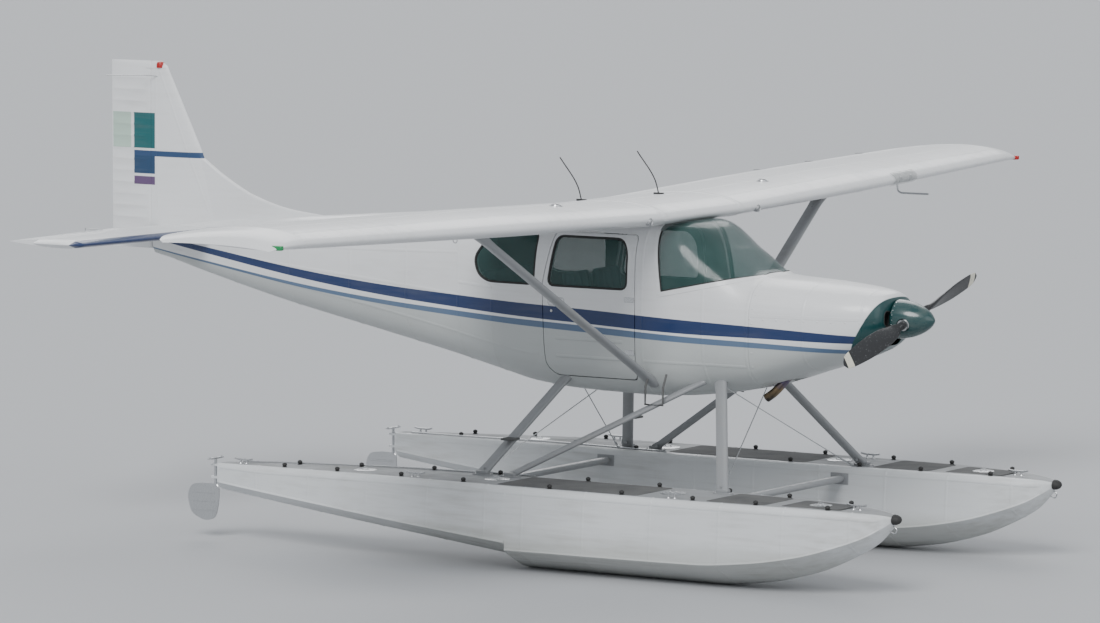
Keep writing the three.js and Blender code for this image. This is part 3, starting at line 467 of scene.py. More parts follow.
def carried(path, normal, profile, around=False):
    """A profile of (across, up) points carried along a path, or once around a closed one. Across
    lies square to the path in the surface, and up as near the normal as is square to the path."""
    before, after = (np.roll(path, 1, 0), np.roll(path, -1, 0)) if around else (
        np.vstack([path[:1], path[:-1]]), np.vstack([path[1:], path[-1:]]))
    along = after - before
    across = square_to(along, np.broadcast_to(normal, path.shape))[:, None]
    upright = square_to(across[:, 0], along)[:, None]
    profile = np.asarray(profile)[None]
    return tubular(path[:, None] + profile[..., :1] * across + profile[..., 1:] * upright, around)


def studs(points, normal, radius, rise=0.42, sides=6):
    """Low domes on the points, each a ring of sides under one crown, and closed below the skin."""
    points = np.atleast_2d(points)
    normal = np.broadcast_to(normal, points.shape)
    first = square_to(normal, np.where(np.abs(normal[:, :1]) < 0.8, [[1.0, 0, 0]], [[0, 1.0, 0]]))
    second = np.cross(normal, first)
    turn = turns(sides)[None, :, None]
    rim = points[:, None] + radius * (np.cos(turn) * first[:, None] + np.sin(turn) * second[:, None])
    crown = points[:, None] + 0.6 * (rim - points[:, None]) + rise * radius * normal[:, None]
    corner = np.arange(sides)
    beside = (corner + 1) % sides
    dome = np.stack([corner, beside, beside + sides, corner + sides], -1).tolist()
    dome += [corner[::-1].tolist(), (corner + sides).tolist()]
    faces = [[2 * sides * n + k for k in face] for n in range(len(points)) for face in dome]
    return np.concatenate([rim - 0.0006 * normal[:, None], crown], 1).reshape(-1, 3), faces


def run_of(points):
    """How far along a path each of its points lies."""
    return np.r_[0, np.cumsum(np.linalg.norm(np.diff(points, axis=0), axis=1))]


def between(places, keys, rows):
    """Rows that belong to rising keys, read at places by straight lines."""
    return np.stack([np.interp(places, keys, column) for column in rows.T], -1)


def spaced(path, normal, pitch):
    """Places a pitch apart along a path, with their normals."""
    run = run_of(path)
    places = np.linspace(0, run[-1], max(2, int(run[-1] / pitch) + 1))
    return between(places, run, path), between(places, run, normal)


def flat(half, rise):
    """The profile of a thin strip with drawn-down edges, sunk a little into what it lies on."""
    return [(-half, -0.002), (-half, 0.4 * rise), (-half + 0.002, rise), (half - 0.002, rise),
            (half, 0.4 * rise), (half, -0.002)]


def lap(path, normal, pitch=0.042, half=0.013, rise=0.0014, radius=RIVET_RADIUS, around=False):
    """A strip or a lap's raised edge along a path, with its row of rivets."""
    ends = slice(0, 1 if around else 0)
    places, up = spaced(np.vstack([path, path[ends]]), np.vstack([normal, normal[ends]]), pitch)
    return [carried(path, normal, flat(half, rise), around), studs(places + rise * up, up, radius)]


laps = []
for station, low, high in [
    # s, and the arc in degrees from straight below up to each side
    (1.368, 0, 168), (1.75, 0, 118), (2.285, 0, 150), (2.8, 0, 26), (3.245, 0, 26), (3.245, 150, 160),
    (3.7, 0, 100), (4.05, 0, 180), (4.6, 0, 180), (5.2, 0, 180), (5.85, 0, 180), (6.5, 0, 180),
    (7.12, 0, 180)]:
    laps += lap(*skin_path(station, np.linspace(low, high, 60)))
for fore, aft, degrees in [
    (1.38, 2.28, 28), (2.29, 3.24, 14), (3.25, 4.04, 96), (3.25, 7.11, 52), (4.06, 7.11, 84),
    (4.06, 7.11, 122), (4.06, 7.11, 152)]:
    laps += lap(*skin_path(np.linspace(fore, aft, 90), degrees))
# Ahead of the door one lap runs level, in line with the door's lower bead.
BEAD_Z = 1.56
sill, fan = np.linspace(1.38, 2.28, 40), np.linspace(0, 90, 160)
laps += lap(*skin_path(sill, [np.interp(BEAD_Z, heights, fan)
                              for heights in skin(sill, np.radians(fan - 90))[:, :, 2]]))
fit("fuselage_laps", mirrored(laps), *BODY_WHITE)


# Doors: one each side, a pressed outer skin over an inner pan, hung on two strap hinges at the
# front post. Each has a framed window and a flush pull handle, and is painted with the fuselage.
DOOR_PLAY, DOOR_RIM, DOOR_PAN = 0.007, 0.015, 0.022
PANE_DEPTH, PANE_THICK, PANE_PLAY = 0.006, 0.006, 0.0003


def inset(outline, distance):
    """A convex outline with each side moved inwards by the distance."""
    corner = np.array(outline, float)
    after = np.roll(corner, -1, 0)
    turn = np.sign(np.sum(corner[:, 0] * after[:, 1] - after[:, 0] * corner[:, 1]))
    normal = [np.stack([-side[:, 1], side[:, 0]], -1) * turn / np.linalg.norm(side, axis=1, keepdims=True)
              for side in (corner - np.roll(corner, 1, 0), after - corner)]
    return corner + distance * sum(normal) / (1 + np.sum(normal[0] * normal[1], 1, keepdims=True))


def on_side(outline):
    """Points of the port skin at (s, z) places, and the outward normals."""
    s, z = np.asarray(outline, float).T
    return with_normals(lambda ds, dz: at(s + ds, side_width(s + ds, z + dz), z + dz), 0.002, PORT)


def skin_sheet(outline, fore, aft, above, under, cut=SIDE_CUT, inner=0):
    """The part inside a side view's outline of a sheet between two depths below the skin, with a
    paint number of its own on the inner face."""
    stations = np.linspace(fore, aft, 40)
    rings = np.concatenate([skin(stations, ROUND, -above), skin(stations[::-1], ROUND, -under)])
    points, faces, numbers = lined(rings, len(stations), len(rings) - 1)
    blank = points, faces, np.multiply(numbers, inner)
    return carved([blank], [prism(outline, "side", *cut)], "INTERSECT")


def glazing(outline, fore, aft, cut=SIDE_CUT):
    """A window's pane, let in a little below the skin."""
    return [skin_sheet(outline, fore, aft, PANE_DEPTH, PANE_DEPTH + PANE_THICK, cut)]


def closed_path(outline, pitch=0.02):
    """An outline walked at an even pitch."""
    loop = np.vstack([outline, outline[:1]])
    run = run_of(loop)
    return between(np.linspace(0, run[-1], int(run[-1] / pitch), endpoint=False), run, loop)


def oblong(a, b, half_a, half_b, corner):
    """A rounded rectangle's outline about a middle."""
    return rounded([(a + way_a * half_a, b + way_b * half_b)
                    for way_a, way_b in ((-1, -1), (1, -1), (1, 1), (-1, 1))], corner)


def oval(wide, tall, sides):
    """An oval profile."""
    turn = turns(sides)
    return np.stack([wide * np.cos(turn), tall * np.sin(turn)], -1)


def window_frame(outline):
    """A pressed frame round a window, a low flat band with its screws."""
    edge = rounded(inset(outline, -0.014), PANE_CORNER + 0.014)
    return lap(*on_side(closed_path(edge)), 0.075, 0.013, 0.0022, 0.0038, around=True)


def window_seal(outline):
    """A rubber seal that lies over a window's edge."""
    lip = [(-0.016, -0.004), (-0.016, 0.001), (-0.012, 0.0035), (0.0, 0.004), (0.003, 0.001), (0.003, -0.008)]
    return carried(*on_side(closed_path(rounded(inset(outline, 0.004), PANE_CORNER))), lip, around=True)


# Slots with their materials.
RUBBER = "bumper_rubber", mottled(
    "window_rubber", (0.012, 0.012, 0.013), (0.045, 0.045, 0.043), 40.0, 300.0, 0.7)
GLASS = "window_glass", mottled(
    "tinted_acrylic", (0.018, 0.075, 0.07), (0.055, 0.13, 0.12), 9.0, 9.0, 0.17, relief=0.0, Alpha=0.42,
    IOR=1.49, Coat_Weight=0.2, Coat_Roughness=0.1)
METAL = "bare_aluminium", mottled(
    "polished_alloy", (0.52, 0.53, 0.54), (0.68, 0.69, 0.7), 600.0, 600.0, 0.28, 1.0, relief=0.05,
    stretch=(0.15, 1, 1))

# Each leaf's play in the opening, the depths it lies between, and the paint inside it.
leaves = []
for play, above, under, lining in (
        (DOOR_PLAY, 0.0, DOOR_RIM, 0), (DOOR_PAN, DOOR_RIM - 0.001, CABIN_WALL, 1)):
    sheet = skin_sheet(rounded(inset(DOOR, play), DOOR_CORNER), 2.33, 3.22, above, under, inner=lining)
    leaves.append(carved([sheet], [prism(rounded(DOOR_PANE, PANE_CORNER), "side", *SIDE_CUT)]))
# Two beads are pressed into the lower skin.
bead = [(-0.016, -0.001), (-0.01, 0.003), (0.0, 0.0055), (0.01, 0.003), (0.016, -0.001)]
beads = [carried(*on_side(np.linspace((2.46, z), (3.08, z), 26)), bead) for z in (BEAD_Z, 1.7)]
# A pull handle arches over its plate, with the lock below, and two straps cross the front edge.
HANDLE_S, HANDLE_Z = 3.075, 1.985
arc = np.linspace(0, np.pi, 16)
grip, grip_up = on_side(np.column_stack([HANDLE_S + 0.055 * np.cos(arc), np.full(16, HANDLE_Z)]))
grip += grip_up * (0.022 * np.sin(arc)[:, None] ** 0.6)
plate = on_side(closed_path(oblong(HANDLE_S, HANDLE_Z, 0.075, 0.03, 0.02), 0.008))
lock = on_side([(HANDLE_S + 0.045, HANDLE_Z - 0.075)])
door_fittings = [carried(grip, grip_up, oval(0.009, 0.004, 10)), studs(*lock, 0.012, 0.3, 16),
                 carried(*plate, flat(0.004, 0.003), around=True)]
for z in (1.62, 2.03):
    door_fittings += lap(*on_side(np.linspace((2.355, z), (2.44, z), 12)), 0.04, 0.02, 0.004, 0.005)
arm, arm_up = on_side(np.linspace((2.62, 1.8), (3.0, 1.8), 24))
arm_rest = carried(arm - 0.052 * arm_up, arm_up, oval(0.03, 0.016, 16))
fit_pair("door_skin", leaves + window_frame(DOOR_PANE) + beads, *BODY_WHITE, CABIN_LINING,
         body="door", stands_for="door")
fit_pair("door_pane", glazing(rounded(inset(DOOR_PANE, PANE_PLAY), PANE_CORNER), 2.4, 3.2), *GLASS,
         body="door", stands_for="door_window")
fit_pair("door_seal", [window_seal(DOOR_PANE), arm_rest], *RUBBER, body="door")
fit_pair("door_fittings", door_fittings, *METAL, body="door")


# Rear side windows and windshield: single blown acrylic panes under a rubber seal, the windshield
# held along its foot and posts by a riveted retainer.
fit_pair("rear_pane", glazing(rounded(inset(REAR_PANE, PANE_PLAY), PANE_CORNER), 3.25, 3.9), *GLASS,
         stands_for="rear_window")
fit("windshield_pane", glazing(inset(WINDSHIELD, PANE_PLAY), 1.352, 2.3, FULL_CUT), *GLASS,
    sharp=50, stands_for=("windshield",))

# The foot's line is walked from the starboard post over the scuttle to the port post.
(foot_fore, fore_z), (foot_aft, aft_z) = WINDSHIELD[:2]
foot_s = foot_fore + 0.003 + np.linspace(0, 1, 40) ** 2 * (foot_aft - foot_fore - 0.003)
foot = on_side(np.column_stack([foot_s, np.interp(foot_s, (foot_fore, foot_aft), (fore_z, aft_z))]))
port_half = [values[foot[0][:, 1] > 0.02] for values in foot]
foot_line, foot_up = (np.vstack([(values * (1, -1, 1))[::-1], values]) for values in port_half)
post_line, post_up = on_side(np.linspace((2.13, 2.085), (2.196, 2.57), 20))
strip = dict(pitch=0.06, half=0.02, rise=0.003, radius=0.0045)
fit("windshield_retainer", lap(foot_line, foot_up, **strip)
    + mirrored(lap(post_line, post_up, **strip) + window_frame(REAR_PANE)), *BODY_WHITE)
lip = [(-0.006, -0.006), (-0.006, 0.002), (0.0, 0.0045), (0.006, 0.002), (0.006, -0.006)]
seal_foot = foot_line.copy()
seal_foot[[0, -1]] = 0.35 * foot_line[[0, -1]] + 0.65 * foot_line[[1, -2]]
seal_foot += 0.022 * square_to(foot_up, np.gradient(seal_foot, axis=0))
fit("window_seals", [carried(seal_foot, foot_up, lip)]
    + mirrored([window_seal(REAR_PANE), carried((post_line + (0.024, 0, 0))[1:], post_up[1:], lip)]),
    *RUBBER)


# Cowling: a pressed nose bowl and two halves of sheet aluminium, split at the shaft's height and
# held by quarter-turn studs. Cooling air goes in beside the spinner and out under the firewall.
COWL_FACE_S, COWL_END_S, COWL_WALL = 0.325, 1.349, 0.014
THRUST_Z, SHAFT_HOLE, CHIN_Z = 1.95, 0.075, 1.7725
INTAKE_Y, INTAKE_Z = 0.1565, 1.9625
intake = oblong(INTAKE_Y, INTAKE_Z, 0.0485, 0.0575, 0.042)
chin = oblong(0.0, CHIN_Z, 0.075, 0.0275, 0.02)
outlet = oblong(1.265, 0.0, 0.135, 0.21, 0.07)


def shaft_ring(s):
    """The hole round the propeller shaft at a station, as one ring."""
    y, z = oval(SHAFT_HOLE, SHAFT_HOLE, len(ROUND)).T
    return at(s, y, THRUST_Z + z)[None]


bowl = COWL_FACE_S + np.array((0, 0.004, 0.01, 0.018, 0.03, 0.045, 0.065, 0.09))
cowl_s = np.r_[bowl, np.linspace(0.445, COWL_END_S, 30)]
rings = np.concatenate([shaft_ring(COWL_FACE_S), skin(cowl_s, ROUND),
                        skin(cowl_s[:0:-1] + 0.004, ROUND, -COWL_WALL), shaft_ring(COWL_FACE_S + COWL_WALL)])
openings = mirrored([prism(intake, "front", 0.3, 0.46)]) + [
    prism(chin, "front", 0.3, 0.52), prism(outlet, "top", 1.3, 1.485)]
PRIMED_METAL = mottled("primed_sheet", (0.1, 0.105, 0.09), (0.03, 0.03, 0.03), 7.0, 200.0, 0.55, 0.3)
fit("cowling", [carved([lined(rings, len(cowl_s) + 1, len(rings))], openings)], *BODY_WHITE, PRIMED_METAL,
    stands_for=("cowl_upper", "cowl_lower"))


def level_path(z):
    """The cowling's port side at a height."""
    return on_side(np.linspace((0.36, z), (1.34, z), 60))


split_edge = [(-0.024, -0.002), (-0.023, 0.0016), (0.0, 0.0016), (0.001, -0.002)]
cowl_trim = [carried(*level_path(THRUST_Z), split_edge)]
for s in (0.452, 0.905):
    cowl_trim += lap(*skin_path(s, np.linspace(0, 180, 70)), pitch=0.07, half=0.011)
for path in (level_path(THRUST_Z - 0.014), skin_path(1.325, np.linspace(25, 178, 70))):
    places, up = spaced(*path, 0.107)
    cowl_trim.append(studs(places + 0.0012 * up, up, 0.0085, 0.22, 12))
fit("cowling_laps", mirrored(cowl_trim), *BODY_WHITE)

# A fabric-lined duct leads the air from each intake's rolled lip to the cylinders.
loop = closed_path(intake, 0.008)
middle = np.array((INTAKE_Y, INTAKE_Z))
duct = [at(s, *(middle + (loop - middle) * grow).T)
        for s, grow in ((0.336, 1.0), (0.4, 1.1), (0.52, 1.5), (0.52, 1.47), (0.4, 1.07), (0.336, 0.97))]
rolled_lip = carried(at(COWL_FACE_S, *loop.T), AHEAD, oval(0.004, 0.004, 8), around=True)
fit("intake_ducts", mirrored([rolled_lip, tubular(np.stack(duct), around=True)]), *RUBBER)

# The chin's air filter behind its wire screen.
screen = [prism(oblong(0, CHIN_Z, 0.078, 0.0305, 0.01), "front", 0.432, 0.45)]
screen += [prism(oblong(y, CHIN_Z, 0.0012, 0.0275, 0), "front", 0.42, 0.4225)
           for y in np.linspace(-0.065, 0.065, 12)]
screen += [prism(oblong(0, z, 0.075, 0.0012, 0), "front", 0.4225, 0.425)
           for z in np.linspace(1.752, 1.793, 5)]
fit("chin_screen", screen, "engine_metal", PRIMED_METAL)


# Engine: an air-cooled flat six. Finned cylinders of steel and aluminium are bolted to a cast case
# with a rocker box on each head, and steel pushrod and intake tubes run below them.
CRANK_Z, HEAD_Y = 1.945, 0.285
CAST_METAL = mottled("cast_case", (0.3, 0.3, 0.3), (0.07, 0.065, 0.06), 8.0, 150.0, 0.55, 0.75, 0.4)


def turned(profile, start, axis, sides=24, around=False):
    """A profile of (along, radius) turned about an axis that leaves the start point, with flat ends,
    or with a closed profile where it goes around."""
    axis = np.array(axis, float) / np.linalg.norm(axis)
    first = square_to(axis, UP if abs(axis[2]) < 0.9 else AHEAD)
    turn = turns(sides)[None, :, None]
    profile = np.asarray(profile, float)[:, None]
    return tubular(np.asarray(start) + profile[..., :1] * axis
                   + profile[..., 1:] * (np.cos(turn) * first + np.sin(turn) * np.cross(axis, first)), around)


def soft_block(low, high, radius=0.02, steps=5):
    """A box with its upright edges rounded, and its top and bottom edges drawn in."""
    low, high = np.minimum(low, high), np.maximum(low, high)
    outline = rounded([low[:2], (high[0], low[1]), high[:2], (low[0], high[1])], radius, steps)
    middle = outline.mean(0)
    reach = np.abs(outline - middle).max(0)
    edge = min(radius, (high[2] - low[2]) / 3) * 0.5
    rows = [(low[2], edge), (low[2] + edge * 0.3, edge * 0.3), (low[2] + edge, 0),
            (high[2] - edge, 0), (high[2] - edge * 0.3, edge * 0.3), (high[2], edge)]
    return tubular(np.stack([np.column_stack([middle + (outline - middle) * (1 - drawn / reach),
                                              np.full(len(outline), z)]) for z, drawn in rows]))


cylinder = [(0.11, 0.062)]
for y in np.linspace(0.122, 0.24, 15):
    cylinder += [(y, 0.062), (y, 0.08), (y + 0.003, 0.08), (y + 0.003, 0.062)]
cylinder += [(0.25, 0.064), (0.265, 0.058), (HEAD_Y, 0.05)]
engine = [soft_block(at(1.12, -0.105, 1.845), at(0.56, 0.105, 2.045), 0.03),
          soft_block(at(1.05, -0.125, 1.75), at(0.62, 0.125, 1.845), 0.03),
          soft_block(at(1.25, -0.14, 1.8), at(1.13, 0.14, 2.03), 0.03)]
for s in (0.655, 0.835, 1.015):
    pipes = [turned([(0.1, 0.008), (0.27, 0.008)], at(s + 0.05, 0, z), (0, 1, 0.12), 8)
             for z in (1.845, 1.805)]
    engine += mirrored([turned(cylinder, at(s, 0, CRANK_Z), PORT, 28),
                        soft_block(at(s - 0.05, 0.268, 1.905), at(s + 0.05, 0.296, 1.985), 0.012)] + pipes)
fit("engine", engine, "engine_metal", CAST_METAL, stands_for=("engine_block",))


# Exhaust: one thin-walled stainless tail pipe from the muffler out under the cowling, straw and
# blue where it gets hot, and sooty at its mouth.
PIPE_RADIUS, PIPE_WALL = 0.034, 0.0022


def eased(points, count):
    """Points of a smooth curve through the given ones, spaced by their distance."""
    run = run_of(points)
    return smooth_rows(np.column_stack([run, points]), np.linspace(0, run[-1], count))


route = eased(at((1.06, 1.09, 1.23, 1.33, 1.4), -0.14, (1.765, 1.6, 1.44, 1.34, 1.29)), 36)
outer_wall, inner_wall = (
    carried(run, PORT, oval(radius, radius, 32))[0].reshape(-1, 32, 3)
    for run, radius in ((route, PIPE_RADIUS), (route[-12:], PIPE_RADIUS - PIPE_WALL)))
clamp = turned([(-0.006, 0.041), (0.006, 0.041)], route[14], route[15] - route[13], 32)
hot_steel, place, (_, _, up) = material("heat_stained_steel", 0.38, 1.0)
cloud = noise(place, 14.0, 5.0)
heat = graded(sums("MULTIPLY_ADD", cloud, 0.18, up), 1.36, 1.6)
ramp = node(hot_steel.node_tree, "ValToRGB", {0: heat}).node
for spot, shade in ((0.0, (0.09, 0.085, 0.08, 1)), (0.35, (0.3, 0.22, 0.13, 1)),
                    (0.6, (0.16, 0.14, 0.22, 1)), (0.85, (0.42, 0.36, 0.28, 1))):
    ramp.color_ramp.elements.new(spot).color = shade
for spare in (0, -1):
    ramp.color_ramp.elements.remove(ramp.color_ramp.elements[spare])
HOT_STEEL = finish(hot_steel, ramp.outputs[0], sums("MULTIPLY_ADD", cloud, 0.4, 0.15), cloud, 0.1)
fit("tail_pipe", [tubular(np.concatenate([outer_wall, inner_wall[::-1]])), clamp], "exhaust_steel",
    HOT_STEEL, stands_for=("exhaust_pipe",))


# Propeller: two forged aluminium blades, painted black with a pale band near the tip, in a bare
# aluminium hub, and a spun aluminium spinner screwed to its back plate.
BLADE = np.array([
    # radius, chord, thickness, pitch in degrees
    (0.06, 0.062, 0.062, 0), (0.19, 0.062, 0.062, 0), (0.27, 0.11, 0.04, 52),
    (0.43, 0.15, 0.027, 40), (0.64, 0.158, 0.018, 29), (0.85, 0.138, 0.012, 22),
    (0.99, 0.104, 0.008, 18), (1.05, 0.056, 0.006, 16)])
BLADE_S, PARKED_TILT, TIP_ROUNDING = 0.205, math.radians(14), 0.045
SPINNER = np.array([  # distance aft of the tip, radius
    (0, 0), (0.012, 0.028), (0.05, 0.068), (0.11, 0.104), (0.19, 0.134), (0.26, 0.147), (0.3, 0.15)])
SPINNER_BACK, SPINNER_WALL, BLADE_HOLE = 0.308, 0.005, 0.05

tip_arc = np.sin(np.linspace(0.1, 0.985, 12) * np.pi / 2)
radius = np.unique(np.r_[np.linspace(0.06, 1.0, 60), BLADE[-1, 0] - TIP_ROUNDING * (1 - tip_arc)])
chord, thick, pitch = smooth_rows(BLADE, radius).T
past = ((radius - BLADE[-1, 0] + TIP_ROUNDING) / TIP_ROUNDING).clip(0)
rounding = np.sqrt(np.clip(1 - past ** 2, 0.004, 1))
turn = turns(36)
bluff = np.interp(radius, (0.19, 0.3, 1.05), (0.0, 0.35, 0.4))[:, None] * np.cos(turn)
along_chord = (chord * rounding)[:, None] / 2 * np.cos(turn)
across_chord = (thick * rounding ** 0.5)[:, None] / 2 * np.sin(turn) * (1 + bluff)


def on_shaft(s):
    """A place on the propeller shaft's axis."""
    return at(s, 0, THRUST_Z)


def blade(direction):
    """One blade: an ellipse at the shank that turns into an aerofoil, set at its pitch about the
    blade's own axis at each radius."""
    ahead, angle = np.array(AHEAD), np.radians(pitch)[:, None]
    chordwise = np.cos(angle) * np.cross(ahead, direction) + np.sin(angle) * ahead
    centre = on_shaft(BLADE_S) + radius[:, None] * direction
    return tubular(centre[:, None] + along_chord[..., None] * chordwise[:, None]
                   + across_chord[..., None] * np.cross(direction, chordwise)[:, None])


port_blade = np.array((0, math.cos(PARKED_TILT), math.sin(PARKED_TILT)))
enamel, place, (_, y, z) = material("blade_enamel", 0.4)
rise = sums("SUBTRACT", z, THRUST_Z)
reach = sums("SQRT", sums("ADD", sums("MULTIPLY", y, y), sums("MULTIPLY", rise, rise)))
chips = noise(place, 90.0, 4.0)
color = blended(within(sums("SUBTRACT", reach, 0.97), 0.04), (0.017, 0.018, 0.02), (0.74, 0.72, 0.6))
BLADE_PAINT = finish(enamel, blended(graded(chips, 0.64, 0.7), color, (0.22, 0.22, 0.23)),
                     sums("MULTIPLY_ADD", chips, 0.3, 0.25), chips, 0.1)
blades = [blade(port_blade), blade(-port_blade)]
fit("propeller_blades", blades, "blade_paint", BLADE_PAINT, body="propeller", stands_for=("propeller",))
cuff = [(0.105, 0.044), (0.118, 0.044), (0.122, 0.038), (0.13, 0.038), (0.134, 0.044), (0.142, 0.044)]
barrel = [(0, 0.07), (0.008, 0.078), (0.102, 0.078), (0.11, 0.07)]
hub = [turned(cuff, on_shaft(BLADE_S), way) for way in (port_blade, -port_blade)]
hub += [turned(barrel, on_shaft(0.15), ASTERN, 40),
        turned([(0, 0.045), (0.262, 0.045)], on_shaft(0.25), ASTERN, 40)]
fit("propeller_hub", hub, *METAL, body="propeller")

# The spinner's wall, walked from the tip aft, round its back plate and forward again inside.
nose = np.linspace(0, 1, 40)[1:] ** 2 * SPINNER[-1, 0]
spun = smooth_rows(np.column_stack([np.sqrt(SPINNER[:, 0]), SPINNER[:, 1]]), np.sqrt(nose))[:, 0]
outer = np.column_stack([nose, spun])
back_plate = [(SPINNER_BACK - 0.002, 0.15), (SPINNER_BACK, 0.148), (SPINNER_BACK, 0.05),
              (SPINNER_BACK - 0.004, 0.05), (SPINNER_BACK - 0.004, 0.143)]
inner = (outer + (SPINNER_WALL, -SPINNER_WALL))[:1:-1]
profile = np.vstack([[(0, 0.002)], outer, back_plate, inner, [(SPINNER_WALL, 0.002)]])
holes = turned([(-0.26, BLADE_HOLE), (0.26, BLADE_HOLE)], on_shaft(BLADE_S), port_blade, 48)
TEAL_ENAMEL = enamelled("teal_enamel", TEAL, 0.18, 0.22, 0.02, Coat_Weight=0.5, Coat_Roughness=0.08)
fit("spinner_shell", [carved([turned(profile, on_shaft(0), ASTERN, 96)], [holes])], "white_paint",
    TEAL_ENAMEL, body="propeller", stands_for=("spinner",))
turn = turns(24) + PARKED_TILT
rim = np.stack([0 * turn, np.cos(turn), np.sin(turn)], -1)
fit("spinner_screws", [studs(on_shaft(0.294) + 0.1497 * rim, rim, 0.005, 0.3, 10)], *METAL, body="propeller")


# Wings: metal skins riveted over two spars and pressed ribs, parallel out to the strut and tapered
# beyond, with a moulded drooped tip. The middle section is the cabin's roof.
ROOT_Y = 0.5603
WING = np.array([
    # y, lead s, chord, quarter-chord z, incidence in degrees, thickness
    (0.0, 2.05, 1.63, 2.668, 1.5, 0.12), (0.56, 2.05, 1.63, 2.668, 1.5, 0.12),
    (2.54, 2.05, 1.63, 2.728, 1.2, 0.12), (5.16, 2.213, 1.142, 2.807, -1.3, 0.12),
    (5.32, 2.235, 1.085, 2.802, -1.5, 0.1), (5.42, 2.262, 1.02, 2.785, -1.5, 0.065),
    (5.46, 2.3, 0.93, 2.77, -1.5, 0.03)])
TAPER_END, TIP_START = WING[3, 0], 5.4
WING_CAMBER, CAMBER_PEAK, NOSE_PLAY, REAR_SPAR = 0.02, 0.4, 0.008, 0.74
TIP_REACH, TIP_PLAY = 0.06, 0.0002
FLAP = dict(start=0.612, end=2.488, share=0.7, play=0.018, rings=30)
AILERON = dict(start=2.566, end=5.08, share=0.77, play=0.014, rings=40)
# Aerofoil sections side by side: points of the leading edge, unit vectors aft and square to the
# chord, chords, and thickness and camber as shares of the chord.
Section = namedtuple("Section", "lead aft normal chord thickness camber")


def foil(x, thickness, camber):
    """Half thickness and mean height of a section as shares of the chord: the four-digit curve in
    the root and powers of x, and a mean line of two parabolas that meet at the camber's peak."""
    half = 5 * thickness * (0.2969 * np.sqrt(x) - 0.126 * x - 0.3516 * x ** 2
                            + 0.2843 * x ** 3 - 0.1015 * x ** 4)
    p = CAMBER_PEAK
    front = camber / p ** 2 * (2 * p * x - x ** 2)
    rear = camber / (1 - p) ** 2 * (1 - 2 * p + 2 * p * x - x ** 2)
    return half, np.where(x < p, front, rear)


def tip_closed(thickness, place, start, reach=TIP_REACH, least=0.0):
    """A thickness that closes as a quarter of an ellipse over a tip, down to its least share."""
    past = np.maximum((place - start) / (reach + TIP_PLAY), 0)
    return thickness * np.sqrt(np.clip(1 - past ** 2, least, 1))


def tip_places(start, reach, first, count):
    """Places over a rounded tip that crowd towards its end."""
    return start + reach * np.sin(np.linspace(first, 1, count) * np.pi / 2)


def wing_section(y):
    """Sections at spanwise places, on straight lines between the table's rows and on a rounded
    closing curve over the tip."""
    y = np.atleast_1d(y)
    straight = between(y, WING[:, 0], WING[:, 1:])
    curved = smooth_rows(WING[3:], np.maximum(y, TAPER_END))
    lead, chord, quarter, incidence, thickness = np.where(y[:, None] > TAPER_END, curved, straight).T
    cos, sin, zero = np.cos(np.radians(incidence)), np.sin(np.radians(incidence)), np.zeros_like(y)
    return Section(at(lead, y, quarter + chord / 4 * sin), np.stack([-cos, zero, -sin], -1),
                   np.stack([-sin, zero, cos], -1), chord, tip_closed(thickness, y, TIP_START), WING_CAMBER)


def on_foil(section, x, side, swell=0.0):
    """Points of the upper (side 1), lower (side -1) or mean (side 0) surface at shares x of the
    chord, swollen outwards in metres, with a row for each section."""
    half, mean = foil(x, section.thickness[:, None], section.camber)
    chord = section.chord[:, None]
    height = chord * (mean + side * half) + side * swell
    return (section.lead[:, None] + (chord * x)[..., None] * section.aft[:, None]
            + height[..., None] * section.normal[:, None])


def foil_path(section_at, place, x, side):
    """Paired places on a surface's skin and the outward normals there."""
    place, x = np.broadcast_arrays(np.asarray(place, float), np.asarray(x, float))
    return with_normals(lambda dy, dx: on_foil(section_at(place + dy), (x + dx)[:, None], side)[:, 0],
                        0.003, side * section_at(place).normal)


def hinge_arc(section, share, play, low, high, count):
    """An arc round each section's hinge point, which lies on its mean line, and its radius: half the
    thickness there and the play. Angles are measured from straight ahead, positive upwards."""
    radius = foil(share, section.thickness, 0.0)[0] * section.chord + play
    turn = np.linspace(low, high, count).T.reshape(-1, count)
    ahead, up = ((radius[:, None] * shape(turn))[..., None] for shape in (np.cos, np.sin))
    return (on_foil(section, share[:, None], 0) - ahead * section.aft[:, None]
            + up * section.normal[:, None]), radius


FRONT_SHARES = (1 - np.cos(np.linspace(0, np.pi, 34))) / 2
REAR_SHARES = np.linspace(0, 1, 8)


def fixed_rings(section, share, bay):
    """Rings of a fixed surface: its skins ahead of the hinge line, then the skins on to the trailing
    edge, or in a bay the round cove that clears the hinged surface's nose."""
    share = np.broadcast_to(share, section.chord.shape)
    if bay:
        radius = hinge_arc(section, share, NOSE_PLAY, 0, 1, 2)[1]
        stop = (share - np.sqrt(radius ** 2 - (radius - NOSE_PLAY) ** 2) / section.chord)[:, None]
        reach = np.arcsin(1 - NOSE_PLAY / radius)
        behind = [hinge_arc(section, share, NOSE_PLAY, -reach, reach, 2 * len(REAR_SHARES))[0][:, 1:-1]]
    else:
        stop = share[:, None]
        behind = [on_foil(section, stop + (1 - stop) * REAR_SHARES[1:], -1),
                  on_foil(section, stop + (1 - stop) * REAR_SHARES[:0:-1], 1)]
    ahead = [on_foil(section, stop * FRONT_SHARES[::-1], 1), on_foil(section, stop * FRONT_SHARES[1:], -1)]
    return np.concatenate(ahead + behind, 1)


